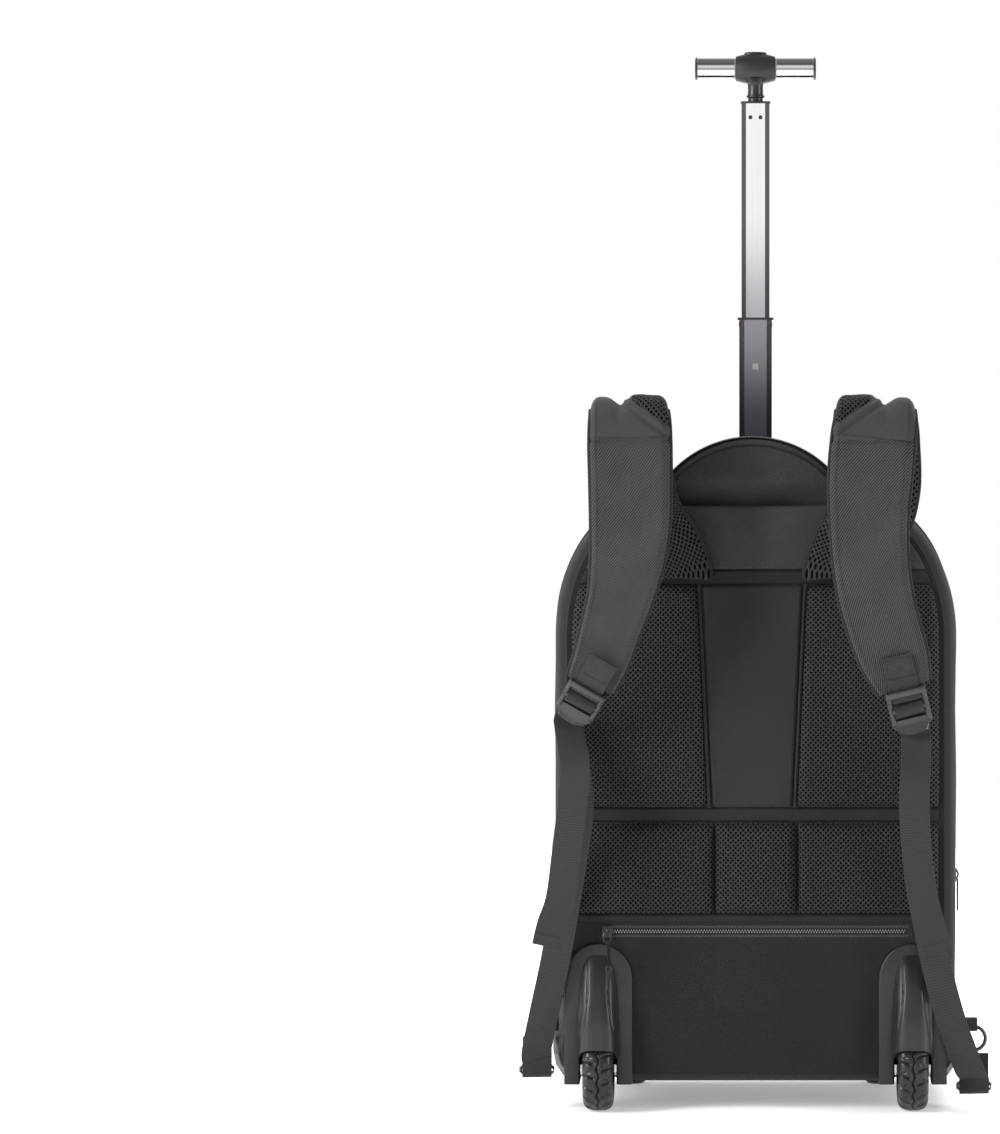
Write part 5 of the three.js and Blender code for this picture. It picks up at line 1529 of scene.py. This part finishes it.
def make_pocket_slider():
    """Slider body, wire ring and a short cord pull that hangs over the housing."""
    low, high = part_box("pocket_slider")
    zip_low, zip_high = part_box("pocket_zipper")
    x, z = (low.x + high.x) / 2, (zip_low.z + zip_high.z) / 2
    y = zip_low.y - 0.0006
    body = block("slider_body", (x, y - 0.0009, z), (0.0085, 0.0018, 0.011), 0.0008, 3)
    bridge = [Vector((x, y - 0.0014 - 0.0022 * math.sin(math.pi * t / 8), z - 0.004 + 0.008 * t / 8)) for t in range(9)]
    parts = [body, tube_along("slider_bridge", bridge, 0.0008)]
    ring = [Vector((x, y - 0.0032 - 0.0012 * (1 - math.cos(a)), z - 0.0045 + 0.0045 * math.sin(a))) +
            Vector((0.003 * math.cos(a), 0, 0)) for a in turns(32)]
    parts.append(tube_along("slider_ring", ring, 0.0006, closed_loop=True))
    slider = join("pocket_slider_metal", parts)
    in_edit(slider, face_out)
    dress(slider, GRIP, "dark_metal", replaces=("pocket_slider",))
    hang = smooth_path([(x + 0.0005, y - 0.0042, z - 0.0075), (x + 0.0014, y - 0.0075, z - 0.0135),
                        (x + 0.0018, y - 0.0125, z - 0.02), (x + 0.002, y - 0.0175, z - 0.0275)], 30)
    for shift in (-0.0007, 0.0007):
        cord = [Vector(point) + Vector((shift, 0, 0)) for point in hang]
        dress(tube_along("pull_cord", cord, 0.0008), BINDING, "binding")
    end = Vector(hang[-1])
    loop = [end + Vector((0.0024 * math.cos(a), -0.0008, -0.002 + 0.0028 * math.sin(a))) for a in
            turns(28)]
    dress(tube_along("pull_end", loop, 0.0008, closed_loop=True), GRIP, "binding")


def make_main_slider():
    low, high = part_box("main_zip_slider")
    y = (ZIP_LOW.y + ZIP_HIGH.y) / 2
    z = high.z - 0.009
    x = low.x + 0.0012
    parts = [block("slider_body", (x + 0.0012, y, z), (0.0024, 0.0105, 0.0125), 0.001, 3)]
    bridge = [Vector((x + 0.0022 + 0.0019 * math.sin(math.pi * t / 8), y, z - 0.0045 + 0.009 * t / 8))
              for t in range(9)]
    parts.append(tube_along("slider_bridge", bridge, 0.0009))
    parts.append(block("slider_pull", (x + 0.0036, y, z - 0.0178), (0.0016, 0.0058, 0.028), 0.0007, 3))
    slider = join("main_zip_slider_metal", parts)
    in_edit(slider, face_out)
    dress(slider, DARK_METAL, "dark_metal", replaces=("main_zip_slider",))


make_pocket_slider()
make_main_slider()


# Telescopic handle

POLE_Y = (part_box("upper_tube")[0].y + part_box("upper_tube")[1].y) / 2


def make_collar():
    """A thin dark rim at the mouth of the middle tube, above a sleeve that carries the tube up to it."""
    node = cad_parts["middle_collar"]
    low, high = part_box("middle_collar")
    centre = (low + high) / 2
    reach = (high - low) / 2
    split = high.z - 0.0019
    tube_low, tube_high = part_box("middle_tube")
    shrink = Vector(((tube_high.x - tube_low.x) / 2 / reach.x, (tube_high.y - tube_low.y) / 2 / reach.y))
    for name, finish, slot in (("middle_collar_rim", GRIP, "housing"), ("middle_collar_sleeve", GUNMETAL, "gunmetal")):
        mesh = node.data.copy()
        mesh.transform(node.matrix_world)
        for vertex in mesh.vertices:
            if finish is GRIP:
                vertex.co.z = max(vertex.co.z, split)
                continue
            vertex.co.z = min(vertex.co.z, split)
            away = vertex.co - centre
            if max(abs(away.x) / reach.x, abs(away.y) / reach.y) > 0.97:
                vertex.co.x = centre.x + away.x * shrink.x
                vertex.co.y = centre.y + away.y * shrink.y
        dress(placed(name, mesh), finish, slot, "middle_stage", 35, ("middle_collar",))


def make_handle():
    keep("handle_sleeve", HOUSING, 0.0006)
    keep("middle_tube", GUNMETAL, 0.0003)
    make_collar()
    keep("upper_tube", SILVER, 0.0003)
    keep("lock_button", STEEL, 0.0003)
    for side in ("left", "right"):
        keep(f"rivet_{side}", DARK_METAL, 0.0003)
        low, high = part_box(f"grip_bar_{side}")
        centre = Vector(((low.x + high.x) / 2, POLE_Y, (low.z + high.z) / 2))
        half, radius = (high.x - low.x) / 2, (high.z - low.z) / 2
        profile = mirrored([(-half, 0.0001), (-half, radius - 0.0003), (-half + 0.0003, radius)])
        rod = turned(f"grip_bar_{side}_chrome", profile, "X", centre, 96)
        dress(rod, CHROME, "chrome", "upper_stage", 35, (f"grip_bar_{side}",))
        keep(f"grip_cap_{side}", GRIP, 0.0003)
    bar_low, bar_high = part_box("grip_bar_right")
    centre = Vector((0, POLE_Y, (bar_low.z + bar_high.z) / 2))
    hub_half = [(-0.0175, 0.0102), (-0.0155, 0.0108), (-0.0105, 0.0121), (-0.0055, 0.0129)]
    rows = smooth_path(mirrored(hub_half, [(0, 0.0131)]), 40)
    profile = mirrored([(-0.0175, 0.0001), (-0.0175, 0.0086), (-0.0163, 0.0103)], rows[2:-2])
    parts = [turned("hub", profile, "X", centre, 96)]
    tube_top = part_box("upper_tube")[1].z
    neck = smooth_path([(tube_top + 0.0016, 0.0064), (tube_top + 0.005, 0.0064), (tube_top + 0.0056, 0.0076),
                        (tube_top + 0.0072, 0.0076), (tube_top + 0.008, 0.0067), (tube_top + 0.0155, 0.0066),
                        (tube_top + 0.0185, 0.0078), (tube_top + 0.0215, 0.0112)], 44)
    parts.append(turned("neck", neck, "Z", Vector((0, POLE_Y, 0)), 64))
    parts.append(block("tube_cap", (0, POLE_Y, tube_top + 0.0010), (0.0254, 0.0214, 0.0017), 0.0007, 3))
    parts.append(block("plug", (0, POLE_Y, tube_top - 0.004), (0.0200, 0.0160, 0.0095), 0.001, 2))
    hub = join("handle_hub_moulding", parts)
    in_edit(hub, face_out)
    dress(hub, HOUSING, "housing", "upper_stage", 35, ("handle_hub",))
    seam = [centre + Vector((x, 0, 0)) + Vector((0, -math.cos(0.35), math.sin(0.35))) * (radius + 0.00002)
            for x, radius in rows]
    dress(tube_along("hub_parting_line", seam, 0.0003, 6), HOUSING, "housing", "upper_stage")
    button_low, button_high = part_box("push_button")
    reach = Vector(((button_high.x - button_low.x) * 0.6, (button_high.y - button_low.y) / 2, 0))
    heights = [(0.0, 0.0), (1.0, 0.0), (1.0, 0.55), (0.97, 0.75), (0.88, 0.9), (0.6, 0.98), (0.0, 1.0)]

    def dome(u, v):
        out, up = smooth_path(heights, 25)[round(v * 24)]
        angle = 2 * math.pi * u
        z = button_low.z + (button_high.z - button_low.z) * up
        return Vector((reach.x * out * math.cos(angle), POLE_Y + reach.y * out * math.sin(angle), z))

    button = surface("push_button_moulding", 48, 24, dome)
    in_edit(button, weld(), face_out)
    dress(button, GRIP, "housing", "release", 40, ("push_button",))


make_handle()
